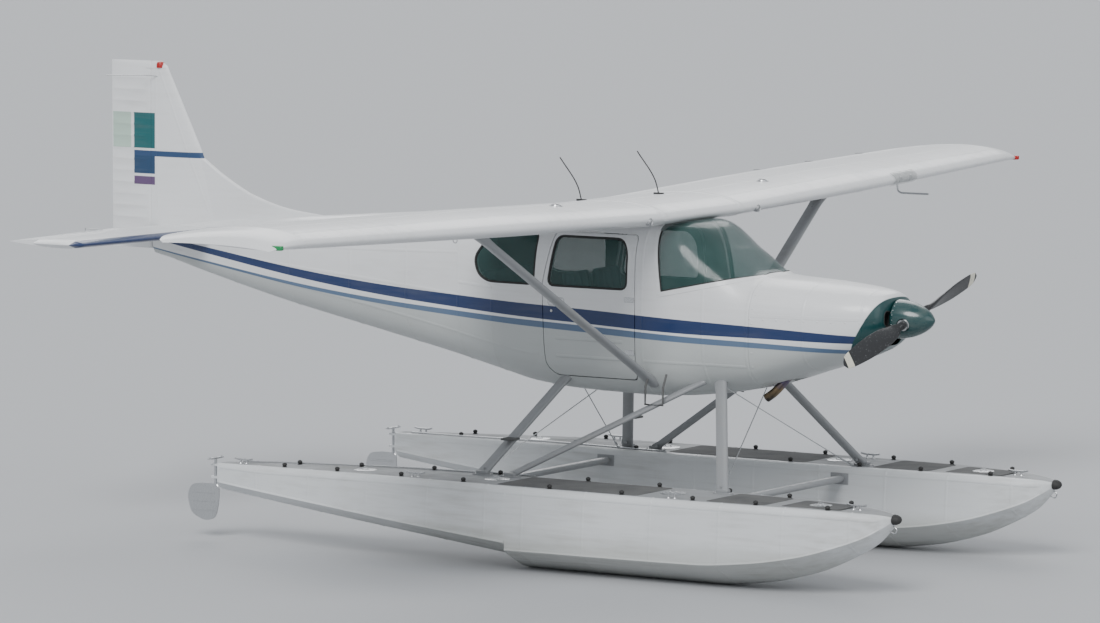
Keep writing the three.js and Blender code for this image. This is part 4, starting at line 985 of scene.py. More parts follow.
def hinged_rings(section, share, swell):
    """Rings of a hinged surface: a round nose on the hinge line and its own skins, swollen outwards
    by its pressed beads."""
    share = np.broadcast_to(share, section.chord.shape)
    aft = np.linspace(0, 1, 17)[1:]
    x = share[:, None] + (1 - share[:, None]) * aft
    rib = swell[:, None] * np.interp(aft, (0, 0.16, 0.9, 1.0), (0, 1, 1, 0))
    return np.concatenate([hinge_arc(section, share, 0, np.pi / 2, -np.pi / 2, 15)[0],
                           on_foil(section, x, -1, rib), on_foil(section, x, 1, rib)[:, ::-1]], 1)


def beaded(start, end, pitch=0.094, rise=0.0036):
    """Places along a span that catch every bead's foot, flank and crown, and the swell at each."""
    crowns = np.arange(start + 0.06, end - 0.04, pitch)
    shape = np.array([(-0.014, 0.0), (-0.0063, 0.75), (0.0, 1.0), (0.0063, 0.75), (0.014, 0.0)])
    return (np.r_[start, (crowns[:, None] + shape[None, :, 0]).ravel(), end],
            np.r_[0, np.tile(shape[:, 1] * rise, len(crowns)), 0])


def surface_laps(section_at, ribs, strips, rib_pitch, rivet, strip_pitch):
    """Rivets along ribs and riveted strips on both of a surface's skins. A rib is (place, shares),
    and a strip is (places, shares, half width)."""
    parts = []
    for side in (1, -1):
        for place, share in ribs:
            parts.append(studs(*spaced(*foil_path(section_at, place, share, side), rib_pitch), rivet))
        for place, share, half in strips:
            parts += lap(*foil_path(section_at, place, share, side), strip_pitch, half)
    return parts


WING_WHITE = "white_paint", enamelled(
    "wing_enamel", WHITE, 0.13, 0.32, 0.1, Coat_Weight=0.3, Coat_Roughness=0.15)

# Bays for the flap and the aileron lie between plain stretches, and the tip closes the shell.
wing_runs, reached = [], ROOT_Y
for bay in (FLAP, AILERON):
    opens, closes = bay["start"] - bay["play"], bay["end"] + bay["play"]
    wing_runs += [fixed_rings(wing_section(np.linspace(reached, opens, 3)), REAR_SPAR, False),
                  fixed_rings(wing_section(np.linspace(opens, closes, bay["rings"])), bay["share"], True)]
    reached = closes
for run in (np.linspace(reached, TAPER_END, 3), np.linspace(TAPER_END + 0.001, TIP_START - 0.0001, 14),
            tip_places(TIP_START, TIP_REACH, 0.08, 12)):
    wing_runs.append(fixed_rings(wing_section(run), REAR_SPAR, False))

# Ribs are flush riveted, spanwise sheets lap, and round inspection plates sit under the wing.
LAP_SHARES, LAP_HALF, LAP_PITCH, END_RIB_Y = (0.115, 0.3, 0.655), 0.013, 0.05, 2.53
ribs = []
for y in (0.8, 1.22, 1.68, 2.12, END_RIB_Y, 2.98, 3.46, 3.94, 4.42, 4.86):
    stop = 0.98 if y == END_RIB_Y else (FLAP if y < END_RIB_Y else AILERON)["share"] - 0.035
    ribs.append((y, np.linspace(0.03, 1, 40) ** 1.4 * stop))
strips = [(np.linspace(ROOT_Y + 0.02, 5.12, 110), x, LAP_HALF) for x in LAP_SHARES]
strips.append((5.13, np.linspace(0.01, 0.98, 50), LAP_HALF))
wing_laps = surface_laps(wing_section, ribs, strips, 0.045, RIVET_RADIUS, LAP_PITCH)
plate, down = foil_path(wing_section, np.array((0.95, 1.95, 3.22, 4.18, 4.64)), 0.46, -1)
level = np.cross(down, PORT)
wing_laps.append(studs(plate, down, 0.055, 0.03, 32))
for turn in turns(8):
    screw = 0.047 * (math.cos(turn) * level + math.sin(turn) * np.cross(down, level))
    wing_laps.append(studs(plate + 0.0016 * down + screw, down, 0.004))
fit_pair("wing_skin", [tubular(np.concatenate(wing_runs))], *WING_WHITE, stands_for="wing")
fit_pair("wing_laps", wing_laps, *WING_WHITE)
for name, bay in (("flap", FLAP), ("aileron", AILERON)):
    spots, swell = beaded(bay["start"], bay["end"])
    rings = hinged_rings(wing_section(spots), bay["share"], swell)
    fit_pair(f"{name}_skin", [tubular(rings)], *WING_WHITE, body=name, stands_for=name)

# Roof: the wing's middle, with the laps carried across and a gap cover over each joint.
section = wing_section(np.zeros(17))
section.lead[:, 1] = np.linspace(-ROOT_Y, ROOT_Y, 17)
roof_parts = [tubular(fixed_rings(section, REAR_SPAR, False))]
for x in LAP_SHARES:
    path, up = foil_path(wing_section, np.zeros(30), x, 1)
    path[:, 1] = np.linspace(-0.54, 0.54, 30)
    roof_parts += lap(path, up, LAP_PITCH)
over, under = (foil_path(wing_section, 0.0, x, side) for x, side in (
    (np.linspace(1, 0, 60) ** 1.5 * 0.97 + 0.004, 1), (np.linspace(0.004, 0.16, 12), -1)))
path, up = (np.vstack(values) for values in zip(over, under))
path[:, 1] = ROOT_Y
cover, (rivets, faces) = lap(path, up, 0.06, 0.034, 0.0018, FINE_RIVET)
roof_parts += mirrored([cover] + [(rivets + (0, y, 0), faces) for y in (-0.024, 0.024)])
fit("roof_skin", roof_parts, *WING_WHITE, stands_for=("wing_centre",))


# Stabilizer: one riveted aerofoil through the tail cone, with a navy leading edge. The elevator's
# two beaded halves turn on one tube behind it, and the starboard half has a trim tab.
STABILIZER = np.array([(0.0, 6.68, 0.99, 0.09), (1.62, 6.868, 0.748, 0.09), (1.7, 6.95, 0.61, 0.05)])
STABILIZER_Z, STABILIZER_TIP = 2.325, 1.64
ELEVATOR_HINGE_S, ELEVATOR_Y, TAB_S = 7.33, (0.08, 1.62), 7.515


def tail_paint(name, blocks, line=None):
    """White enamel with masked blocks of (s from, s to, z from, z to, colour), and a navy edge drawn
    ahead of a line s = a + b |y|."""
    made, place, (station, y, z) = material(name, Coat_Weight=0.3, Coat_Roughness=0.15)
    color = WHITE
    for s0, s1, z0, z1, shade in blocks:
        where = [within(sums("SUBTRACT", value, (low + high) / 2), (high - low) / 2)
                 for value, low, high in ((station, s0, s1), (z, z0, z1))]
        color = blended(sums("MULTIPLY", *where), color, shade)
    if line:
        ahead = sums("SUBTRACT", station, sums("MULTIPLY_ADD", sums("ABSOLUTE", y), line[1], line[0]))
        color = blended(graded(ahead, -PAINT_EDGE, 0.0, 1.0, 0.0), color, NAVY)
    return weathered(made, place, color, 0.13, 0.32, 0.1)


def straight_section(lead, normal, chord, thickness):
    """Sections without camber or incidence, from their lead points."""
    one, zero = np.ones_like(chord), np.zeros_like(chord)
    return Section(lead, np.stack([-one, zero, zero], -1), np.outer(one, normal), chord, thickness, 0.0)


def stabilizer_section(y):
    """Sections of the tailplane at spanwise places."""
    lead, chord, thickness = between(np.atleast_1d(y), STABILIZER[:, 0], STABILIZER[:, 1:]).T
    return straight_section(at(lead, y, STABILIZER_Z), UP, chord, tip_closed(thickness, y, STABILIZER_TIP))


def share_at(section, s):
    """The share of each chord that lies ahead of station s."""
    return (s - (NOSE_X - section.lead[:, 0])) / section.chord


def tail_laps(section_at, places, ribs, rib_end, nose, rear, closing):
    """A tail surface's rivets and strips: ribs of (place, first share) back to a station, strips
    along the places between two stations each, and one of (place, first and last share) that
    closes the tip."""
    strips = [(places, share_at(section_at(places), np.linspace(low, high, len(places))), 0.01)
              for low, high in (nose, rear)]
    strips.append((closing[0], np.linspace(*closing[1:], 24), 0.009))
    ribs = [(place, np.linspace(first, 1, 30) * share_at(section_at(place), rib_end))
            for place, first in ribs]
    return surface_laps(section_at, ribs, strips, 0.042, FINE_RIVET, 0.045)


span = np.r_[np.linspace(0.0, STABILIZER[1, 0], 40), tip_places(STABILIZER_TIP, TIP_REACH, 0, 10)]
section = stabilizer_section(span)
half_rings = fixed_rings(section, share_at(section, ELEVATOR_HINGE_S), True)
ribs = [(y, 0.03) for y in (0.16, 0.46, 0.78, 1.1, 1.42)]
half_laps = tail_laps(stabilizer_section, np.linspace(0.12, 1.6, 50), ribs, 7.27, (6.8026, 6.9579),
                      (7.24, 7.24), (1.628, 0.02, 0.56))
TAIL_WHITE = "white_paint", tail_paint("tailplane_enamel", [], (6.765, 0.116))
fit("tailplane_skin", [tubular(np.concatenate([half_rings[:0:-1] * (1, -1, 1), half_rings]))], *TAIL_WHITE,
    stands_for=("stabilizer",))
fit("tailplane_laps", mirrored(half_laps), *TAIL_WHITE)

# The elevator's inner corners are cut back to clear the rudder.
spots, swell = beaded(*ELEVATOR_Y, pitch=0.09, rise=0.003)
section = stabilizer_section(spots)._replace(thickness=np.full(len(spots), STABILIZER[0, 3]))
half = tubular(hinged_rings(section, share_at(section, ELEVATOR_HINGE_S), swell))
cutback = prism([(7.345, 0.06), (7.345, 0.084), (7.7, 0.19), (7.7, 0.06)], "top", 2.1, 2.55)
fit("elevator_skin", mirrored([carved([half], [cutback], solver="EXACT")]), *WING_WHITE,
    body="elevator", stands_for=("elevator",))
hinge = at(ELEVATOR_HINGE_S, 0, STABILIZER_Z)
fit("elevator_tube", [turned([(-0.12, 0.02), (0.12, 0.02)], hinge, PORT),
                      turned([(-0.005, 0.045), (0.005, 0.045)], hinge, PORT)],
    *METAL, body="elevator")


def tube(points, radius, sides, level=PORT, count=None):
    """A round bar along a path, eased through the points where a count is given."""
    path = eased(points, count) if count else np.asarray(points, float)
    return carried(path, level, oval(radius, radius, sides))


# The trim tab is marked by its hinge pin and its cuts, and a push rod reaches it.
TAB_ENDS, ROD_Y = (0.52, 1.12), -0.72
section = stabilizer_section(np.linspace(*TAB_ENDS, 30))
pin = on_foil(section, share_at(section, TAB_S)[:, None], 1)[:, 0] + (0, 0, 0.0022)
groove = [(-0.0025, -0.003), (-0.0025, 0.0034), (0.0025, 0.0034), (0.0025, -0.003)]
tab_parts = [tube(pin, 0.0038, 8, UP)]
for y in TAB_ENDS:
    shares = np.linspace(share_at(stabilizer_section(y), TAB_S)[0], 0.985, 8)
    tab_parts.append(carried(*foil_path(stabilizer_section, y, shares, 1), groove))
tab_parts = mirror_to(-1, tab_parts)
rod = at((7.41, 7.535, 7.545), ROD_Y, STABILIZER_Z + np.array((0.04, 0.04, 0.012)))
tab_parts += [tube(rod[:2], 0.004, 8), tube(rod[1:], 0.004, 8),
              turned([(-0.006, 0.008), (0.006, 0.008)], rod[1], PORT, 12)]
fit("trim_tab_linkage", tab_parts, *METAL, body="elevator")


# Fin and rudder: the fin stands on the tail cone behind a long dorsal fillet, and the beaded rudder
# hangs on three hinges. Masked blocks of teal, pale green, navy and plum cross both.
FIN = np.array([(2.34, 6.64, 0.09), (3.0, 6.89, 0.09), (3.67, 7.23, 0.09), (3.71, 7.29, 0.05)])
FIN_TOP, FIN_TIP, RUDDER_HINGE_S, RUDDER_LOW, TRAILING_S = FIN[-1, 0], 0.035, 7.4, 2.165, 7.8
FILLET_EDGE = np.array([(5.65, 2.505), (6.0, 2.545), (6.35, 2.64), (6.65, 2.79), (6.9, 2.955)])
FILLET_FOOT_Z = 2.36
TAIL_BLOCKS = [
    # s from, s to, z from, z to, colour
    (7.34, 7.56, 2.99, 3.28, (0.004, 0.105, 0.115)), (7.595, 7.79, 2.99, 3.28, (0.46, 0.6, 0.52)),
    (6.86, 7.56, 2.925, 2.968, (0.02, 0.06, 0.15)), (7.34, 7.56, 2.78, 2.925, (0.012, 0.05, 0.12)),
    (7.34, 7.56, 2.69, 2.755, (0.11, 0.06, 0.15))]


def fin_section(z):
    """Sections of the fin and rudder, level, at heights. The trailing edge is upright."""
    lead, thickness = between(np.atleast_1d(z), FIN[:, 0], FIN[:, 1:]).T
    closed = tip_closed(thickness, z, FIN_TOP - FIN_TIP, FIN_TIP, 0.02)
    return straight_section(at(lead, 0, z), PORT, TRAILING_S - lead, closed)


FIN_WHITE = "white_paint", tail_paint("fin_enamel", TAIL_BLOCKS)
section = fin_section(np.r_[np.linspace(FIN[0, 0], FIN[2, 0], 44),
                            tip_places(FIN_TOP - FIN_TIP, FIN_TIP, 0.1, 9)])
fin = tubular(fixed_rings(section, share_at(section, RUDDER_HINGE_S), True))
# The fillet's sides widen from its rounded edge down to its foot on the tail cone.
edge = eased(FILLET_EDGE, 60)
half_thick = np.interp(edge[:, 0], (edge[0, 0], 5.9, edge[-1, 0]), (0.004, 0.014, 0.02))[:, None]
turn = np.linspace(0, np.pi, 13)
across = np.concatenate([half_thick * np.cos(turn), half_thick * (-1.9, 1.9)], 1)
crown = edge[:, 1:] - half_thick * 1.4 * (1 - np.sin(turn))
fillet = tubular(at(edge[:, :1], across, np.concatenate([crown, np.full((60, 2), FILLET_FOOT_Z)], 1)))
fit("fin_skin", [fin, fillet], *FIN_WHITE, stands_for=("fin",))
ribs = [(z, 0.06) for z in (2.62, 2.98, 3.34)]
fin_laps = tail_laps(fin_section, np.linspace(2.5, 3.64, 44), ribs, 7.34, (6.8, 7.3), (7.305, 7.335),
                     (3.655, 0.03, 0.36))
fit("fin_laps", fin_laps, *FIN_WHITE)
spots, swell = beaded(RUDDER_LOW, FIN_TOP - 0.04, pitch=0.096, rise=0.003)
closing = FIN_TOP - np.array((FIN_TIP, 0.02, 0.01, 0.002, 0.0))
section = fin_section(np.r_[spots[:-1], closing])
rudder = hinged_rings(section, share_at(section, RUDDER_HINGE_S), np.r_[swell[:-1], 0 * closing])
fit("rudder_skin", [tubular(rudder)], *FIN_WHITE, body="rudder", stands_for=("rudder",))
fit("rudder_brackets", [soft_block(at(7.405, -0.004, z - 0.016), at(7.35, 0.004, z + 0.016), 0.003)
                        for z in (2.62, 3.08, 3.52)], *METAL)


# Beacon and aerials: a red beacon on the fin, the navigation aerial's two whiskers below it, and two
# whip aerials on the roof, each on its own moulded base.
RED_LENS, GREEN_LENS, CLEAR_LENS = (
    mottled(name, shade, np.multiply(shade, 0.6), 60.0, 60.0, 0.12, relief=0.4, ribs=(60.0, "Z"),
            Alpha=alpha, IOR=1.5)
    for name, shade, alpha in (("red_lens", (0.55, 0.012, 0.01), 0.9),
                               ("green_lens", (0.01, 0.34, 0.1), 0.9),
                               ("clear_lens", (0.7, 0.72, 0.72), 0.35)))
PLASTIC = "panel_plastic", mottled(
    "moulded_plastic", (0.012, 0.012, 0.013), (0.028, 0.028, 0.03), 260.0, 260.0)
beacon = [(0, 0.036), (0.03, 0.036), (0.046, 0.028), (0.052, 0.012), (0.0535, 0.002)]
fit("beacon_lens", [turned(beacon, at(7.3, 0, FIN_TOP - 0.056), UP, 28)], "window_glass", RED_LENS)
whisker = at((7.3, 7.36, 7.6), (0.012, 0.062, 0.352), (3.58, 3.59, 3.6))
aerial_base = turned([(-0.006, 0.014), (0.006, 0.011), (0.012, 0.005)], whisker[0], PORT, 16)
fit("navigation_aerial", mirrored([tube(whisker, 0.0035, 8, UP, 14), aerial_base]), *METAL)
whips = []
for s, y in ((2.62, 0.24), (3.02, -0.26)):
    foot = foil_path(wing_section, np.zeros(1), (s - WING[0, 1]) / WING[0, 2], 1)[0][0] + (0, y, 0)
    whips += [soft_block(foot - (0.045, 0.014, 0.004), foot + (0.045, 0.014, 0.012), 0.012),
              tube([foot, foot + (-0.03, 0, 0.1), foot + (-0.2, 0, 0.33)], 0.005, 8, count=12)]
fit("whip_aerials", whips, *PLASTIC)


# Floats: hard-chined aluminium hulls with a step, decked over and divided by riveted bulkheads. Each
# has a keel strip, spray rails, hatches, pump-out plugs, cleats and a non-skid walkway.
FLOAT_Y, STEP_S = 1.25, 2.85
FOREBODY = np.array([
    # s, keel z, chine z, chine half width, deck z, deck half width
    (-0.37, 0.555, 0.575, 0.042, 0.612, 0.046), (-0.33, 0.5, 0.54, 0.088, 0.622, 0.09),
    (-0.22, 0.39, 0.465, 0.165, 0.634, 0.16), (0.0, 0.265, 0.375, 0.243, 0.645, 0.23),
    (0.3, 0.14, 0.285, 0.307, 0.653, 0.285), (0.7, 0.045, 0.215, 0.352, 0.655, 0.325),
    (1.15, 0.0, 0.176, 0.372, 0.655, 0.344), (STEP_S, 0.0, 0.162, 0.378, 0.655, 0.35)])
AFTERBODY = np.array([
    (STEP_S, 0.072, 0.218, 0.372, 0.655, 0.35), (3.7, 0.165, 0.292, 0.34, 0.655, 0.318),
    (4.7, 0.275, 0.378, 0.24, 0.64, 0.226), (5.45, 0.365, 0.44, 0.14, 0.624, 0.134),
    (5.77, 0.405, 0.468, 0.092, 0.616, 0.088)])
KEEL_HALF, FLARE, DECK_Z = 0.016, 1.36, 0.655
BOW_S, STERN_S = FOREBODY[0, 0], AFTERBODY[-1, 0]


def float_rings(table, stations):
    """Sections of a float at stations: a flat keel strip, a bottom that flares as a power of the
    way out to the chine, a straight side, a rounded deck edge and a flat deck."""
    keel, chine, wide, deck, top = (column[:, None] for column in smooth_rows(table, stations).T)
    edge = np.minimum(np.minimum(0.05, top / 3), (deck - chine) / 3)
    strip = np.minimum(KEEL_HALF, wide / 3)
    out, turn = np.linspace(0, 1, 12)[None], np.linspace(0, np.pi / 2, 7)[None, 1:]
    rise = np.array([[0.02, 0.3, 0.65, 1.0]])
    y = np.concatenate([strip + (wide - strip) * out, wide + (top - wide) * rise,
                        top - edge * (1 - np.cos(turn))], 1)
    z = np.concatenate([keel + (chine - keel) * out ** FLARE, chine + (deck - edge - chine) * rise,
                        deck - edge * (1 - np.sin(turn))], 1)
    return at(np.asarray(stations)[:, None], FLOAT_Y + np.concatenate([y, -y[:, ::-1]], 1),
              np.concatenate([z, z[:, ::-1]], 1))


def deck_at(s):
    """The deck's height and half width at a station."""
    return smooth_rows(FOREBODY if s < STEP_S else AFTERBODY, s)[0, 3:]


def decked(rings):
    """A hull's loft, with paint 1 on its deck."""
    points, faces = tubular(rings)
    columns = rings.shape[1]
    return points, faces, [int(len(face) == 4 and face[0] % columns == columns // 2 - 1) for face in faces]


def both_halves(parts):
    """Parts of a float's outer half, and their mirror images about its own middle."""
    return parts + [(points * (1, -1, 1) + (0, 2 * FLOAT_Y, 0), *rest) for points, *rest in parts]


# The afterbody's front end is tucked inside the forebody.
bow = BOW_S + 0.18 * np.linspace(0, 1, 14) ** 1.5
aft_rings = float_rings(AFTERBODY, np.linspace(STEP_S, STERN_S, 56))
tucked = (aft_rings[:1] - (0, FLOAT_Y, 0.4)) * (1, 0.97, 0.97) + (0.04, FLOAT_Y, 0.4)
lug = rounded([(5.7, -0.05), (5.8, -0.034), (5.884, -0.026), (5.884, 0.026), (5.8, 0.034),
               (5.7, 0.05)], 0.02)
hull = [decked(float_rings(FOREBODY, np.r_[bow, np.linspace(-0.16, STEP_S, 60)])),
        decked(np.concatenate([tucked, aft_rings]))]
hull += [prism(lug + (0, FLOAT_Y), "top", low, low + 0.016) for low in (0.486, 0.586)]
enamel, place, (_, _, up) = material("float_enamel", Coat_Weight=0.15, Coat_Roughness=0.25)
wet = graded(sums("MULTIPLY_ADD", noise(place, 2.2, 6.0, (1.0, 3.0, 3.0)), 0.16, up), 0.3, 0.44, 0.55, 0.0)
color = blended(wet, (0.66, 0.68, 0.69), (0.36, 0.37, 0.34))
HULL_GREY = "float_paint", weathered(enamel, place, color, 0.3, 0.36, tint=(0.22, 0.2, 0.16))
DECK_ENAMEL = enamelled("deck_enamel", (0.3, 0.31, 0.32), 0.34, 0.55, 0.08)
NON_SKID = mottled("non_skid_tread", (0.055, 0.058, 0.062), (0.17, 0.17, 0.165), 5.0, 420.0, 0.92, relief=0.8)
fit_pair("float_hull", hull, *HULL_GREY, DECK_ENAMEL, sharp=28, stands_for="float")

# Bulkhead laps, and spray rails along the chines and the deck's edges.
rail = [(-0.012, -0.004), (-0.01, 0.006), (0.0, 0.011), (0.006, 0.004), (0.006, -0.004)]
half_laps = []
for table, fore, aft, bulkheads in ((FOREBODY, -0.3, 2.843, (-0.1, 0.42, 0.95, 1.55, 2.15, 2.7)),
                                    (AFTERBODY, 2.86, 5.74, (3.05, 3.6, 4.2, 4.8, 5.35))):
    for s in bulkheads:
        before, ring, after = float_rings(table, (s - 0.004, s, s + 0.004))
        up = square_to(np.roll(ring, -1, 0) - np.roll(ring, 1, 0), after - before, ring - ring.mean(0))
        for part in (slice(1, 12), slice(12, 22)):
            half_laps += lap(ring[part], up[part], pitch=0.036, half=0.012)
    run = float_rings(table, np.linspace(fore, aft, 75))
    half_laps += [carried(run[:, 12], PORT, rail), carried(run[:, 15], PORT, flat(0.008, 0.0022))]
fit_pair("float_laps", both_halves(half_laps), *HULL_GREY)
walkways = []
for s0, s1, w0, w1, top in [
    # s from, s to, half widths there, top
    (0.62, 1.12, 0.23, 0.26, 0.6572), (1.72, 3.0, 0.27, 0.26, 0.6572), (0.02, 0.5, 0.14, 0.2, 0.655)]:
    tread = rounded([(s0, -w0), (s1, -w1), (s1, w1), (s0, w0)], 0.04) + (0, FLOAT_Y)
    walkways.append(prism(tread, "top", top - 0.006, top))
fit_pair("float_walkway", walkways, "bumper_rubber", NON_SKID)

# Deck gear: hatches with pull rings, cleats, a bow eye, pump-out plugs, and the guard tube that
# carries the water rudder's cable aft.
gear, plugs = [], []
for s, wide, lift in ((0.26, 0.085, 0.002), (1.56, 0.1, 0.002), (3.16, 0.1, 0), (4.4, 0.09, 0)):
    foot = at(s, FLOAT_Y, deck_at(s)[0] + lift)
    lid = [(-0.004, wide), (0.003, wide), (0.005, wide - 0.006), (0.005, 0.03), (0.008, 0.028)]
    pull = [(0.03, 0, 0.006), (0.02, 0, 0.019), (-0.02, 0, 0.019), (-0.03, 0, 0.006)]
    gear += [turned(lid, foot, UP, 40), tube(foot + pull, 0.0035, 8, count=12)]
horn = [(0.085, 0, 0.04), (0.04, 0, 0.032), (-0.04, 0, 0.032), (-0.085, 0, 0.04)]
post = [(-0.004, 0.017), (0.004, 0.015), (0.012, 0.008), (0.032, 0.008)]
for s in (-0.05, 1.42, 3.78, 5.56):
    foot = at(s, FLOAT_Y + (deck_at(s)[1] - 0.1 if s > 1 else 0), deck_at(s)[0])
    gear.append(tube(foot + horn, 0.0075, 10, count=16))
    gear += [turned(post, foot + (step, 0, 0), UP, 14) for step in (-0.028, 0.028)]
bow_eye = at((-0.335, -0.372, -0.392, -0.36), FLOAT_Y, (0.5, 0.488, 0.515, 0.545))
guard = at((3.0, 4.0, 5.0, 5.62), FLOAT_Y - np.array((0.29, 0.225, 0.145, 0.06)),
           (0.663, 0.661, 0.642, 0.628))
gear += [tube(bow_eye, 0.005, 10, count=14), tube(guard, 0.006, 10, count=30)]
plug = [(-0.003, 0.019), (0.004, 0.019), (0.006, 0.012), (0.01, 0.016), (0.02, 0.02), (0.03, 0.016),
        (0.036, 0.003)]
for s in (0.1, 0.68, 1.22, 1.85, 2.5, 3.3, 3.9, 4.55, 5.1):
    height, half = deck_at(s)
    plugs.append(turned(plug, at(s, FLOAT_Y + half - 0.075, height), UP, 16))
fit_pair("float_fittings", gear, *METAL)
fit_pair("float_plugs", both_halves(plugs), *RUBBER)

# The bow bumper is an ellipsoid's front half, with three moulded grooves.
reach = np.linspace(0, 1, 24)[:, None] ** 0.7 * np.pi / 2
swell = np.cos(reach) * (1 - 0.05 * (np.sin(reach * 14) > 0.6))
swell[-1] = 0.02
turn = turns(40)
bumper = tubular(at(BOW_S - 0.0599 * np.sin(reach), FLOAT_Y + 0.052 * swell * np.cos(turn),
                    0.592 + 0.04 * swell * np.sin(turn)))
fit_pair("bow_bumper_pad", [bumper], *RUBBER, stands_for="bow_bumper")


# Water rudders: a beaded aluminium blade on an upright pin behind each float, turned by a tiller.
STERN_POST_S = 5.85
edge = rounded([(5.815, 0.44), (5.815, 0.3), (5.85, 0.16), (5.96, 0.135), (6.09, 0.19), (6.13, 0.33),
                (6.09, 0.425), (5.96, 0.44)], 0.05)
middle = edge.mean(0)
blade_rings = []
for y, grow in ((-0.0065, 0.98), (-0.004, 1.0), (0.004, 1.0), (0.0065, 0.98)):
    s, z = (middle + (edge - middle) * grow).T
    blade_rings.append(at(s, FLOAT_Y + y, z))
blade_bead = [(-0.01, -0.001), (-0.005, 0.0035), (0.005, 0.0035), (0.01, -0.001)]
beads = [carried(at(np.linspace(5.86, 6.07, 14), FLOAT_Y + 0.0062, z), PORT, blade_bead)
         for z in (0.225, 0.295, 0.365)]
tiller = rounded([(5.83, -0.095), (5.87, -0.095), (5.872, 0.0), (5.87, 0.095), (5.83, 0.095),
                  (5.828, 0.0)], 0.018)
pin = at(STERN_POST_S, FLOAT_Y, 0.432)
clevis = turned([(0, 0.008), (0.008, 0.008)], pin + (0, 0.078, 0.217), UP, 6)
fit_pair("water_rudder_blade", both_halves(beads + [clevis])
         + [tubular(np.stack(blade_rings)), turned([(0, 0.012), (0.219, 0.012)], pin, UP, 20),
            prism(tiller + (0, FLOAT_Y), "top", 0.641, 0.651)],
         *METAL, body="water_rudder", stands_for="water_rudder")


# Struts: streamlined aluminium tubes, painted grey. Each wing has one, with a moulded cuff at both
# ends. Three reach down to shoes on each float's deck, and two spreader bars join the floats.
STRUT_GREY = "strut_paint", enamelled(
    "strut_enamel", (0.27, 0.28, 0.29), 0.2, 0.34, 0.06, Coat_Weight=0.2, Coat_Roughness=0.2)


def streamlined(foot, head, rows):
    """A bar from foot to head whose section is a symmetric foil. Rows give the share of the way up,
    the chord and the thickness."""
    along = (head - foot) / np.linalg.norm(head - foot)
    aft = along[0] * along - AHEAD
    aft /= np.linalg.norm(aft)
    turn = turns(28)
    x = (1 - np.cos(turn)) / 2
    half = 0.98 * foil(x, 1.0, 0.0)[0] * np.where(turn < np.pi, 1, -1)
    share, chord, thick = np.array(rows).T[:, :, None]
    centre = foot + share * (head - foot)
    return tubular(centre[:, None] + (chord * (x - 0.42))[..., None] * aft
                   + (thick * half)[..., None] * np.cross(along, aft))


def cuffed(length, reach, chord, thickness, extra):
    """Rows of a strut that swells into a cuff over its first and last reach, with domed ends."""
    near, dome = np.linspace(0, 1, 8), np.linspace(np.pi / 2 - 0.1, 0.3, 5)
    swell = extra * (1 - near ** 2 * (3 - 2 * near))
    share = np.r_[-0.35 * thickness * np.sin(dome), near * reach] / length
    shrink, swell = np.r_[np.cos(dome), np.ones(8)], np.r_[np.full(5, extra), swell]
    rows = np.column_stack([share, shrink * (chord + swell), shrink * (thickness + swell)])
    return np.vstack([rows, (rows * (-1, 1, 1) + (1, 0, 0))[::-1]])


low, high = at((2.24, 2.48), (0.47, 2.56), (1.4, 2.68))
length = np.linalg.norm(high - low)
way = (high - low) / length
out = np.cross(way, ASTERN)
wing_strut = [streamlined(low - 0.03 * way, high, cuffed(length, 0.22, 0.115, 0.048, 0.03))]
wing_strut += [studs(place + side * 0.0225 * out, side * out, 0.009, 0.4, 12)
               for place in (low + 0.26 * way, high - 0.26 * way) for side in (1, -1)]
fit_pair("wing_brace", wing_strut, *STRUT_GREY, stands_for="wing_strut")

LEG_FOOT_Y, LEG_HEAD_Z = 1.06, 1.42
leg_ends = {}
bolt = [(-0.042, 0.011), (-0.034, 0.011), (-0.034, 0.006), (0.034, 0.006), (0.034, 0.011), (0.042, 0.011)]
for leg, foot_s, head_s, head_y, chord, thick, past in (
        # foot and head stations, head y, chord, thickness, and how far past the head it runs on
        ("front", 1.23, 1.64, 0.41, 0.095, 0.042, 0.02), ("rear", 3.42, 3.01, 0.43, 0.095, 0.042, -0.035),
        ("slant", 3.16, 1.8, 0.41, 0.06, 0.034, 0.0)):
    leg_ends[leg] = deck, head = at((foot_s, head_s), (LEG_FOOT_Y, head_y), (DECK_Z, LEG_HEAD_Z))
    foot = deck + (0, 0, 0.012)
    length = np.linalg.norm(head - foot)
    way = (head - foot) / length
    corners = deck + [(a, b, 0.009) for a in (0.066, -0.066) for b in (0.026, -0.026)]
    parts = [streamlined(foot, head + past * way, cuffed(length, 0.1, chord, thick, 0.012)),
             soft_block(deck - (0.08, 0.036, 0.004), deck + (0.08, 0.036, 0.01)),
             soft_block(deck + (-0.052, -0.028, 0.008), deck + (0.052, 0.028, 0.034), 0.016),
             studs(corners, UP, 0.0075, 0.7, 6), turned(bolt, foot + way * 0.055, PORT, 6)]
    fit_pair(f"float_leg_{leg}", parts, *STRUT_GREY, stands_for=f"float_strut_{leg}")
for name, s in (("front", 1.36), ("rear", 3.55)):
    inner = FLOAT_Y - deck_at(s)[1]
    bar = streamlined(*at(s, (-0.95, 0.95), 0.56), [(0, 0.12, 0.056), (1, 0.12, 0.056)])
    shoe = soft_block(at(s + 0.075, inner - 0.012, 0.515), at(s - 0.085, inner, 0.605), 0.008)
    fit(f"spreader_{name}", [bar, *mirrored([shoe])], *STRUT_GREY, stands_for=(f"spreader_bar_{name}",))

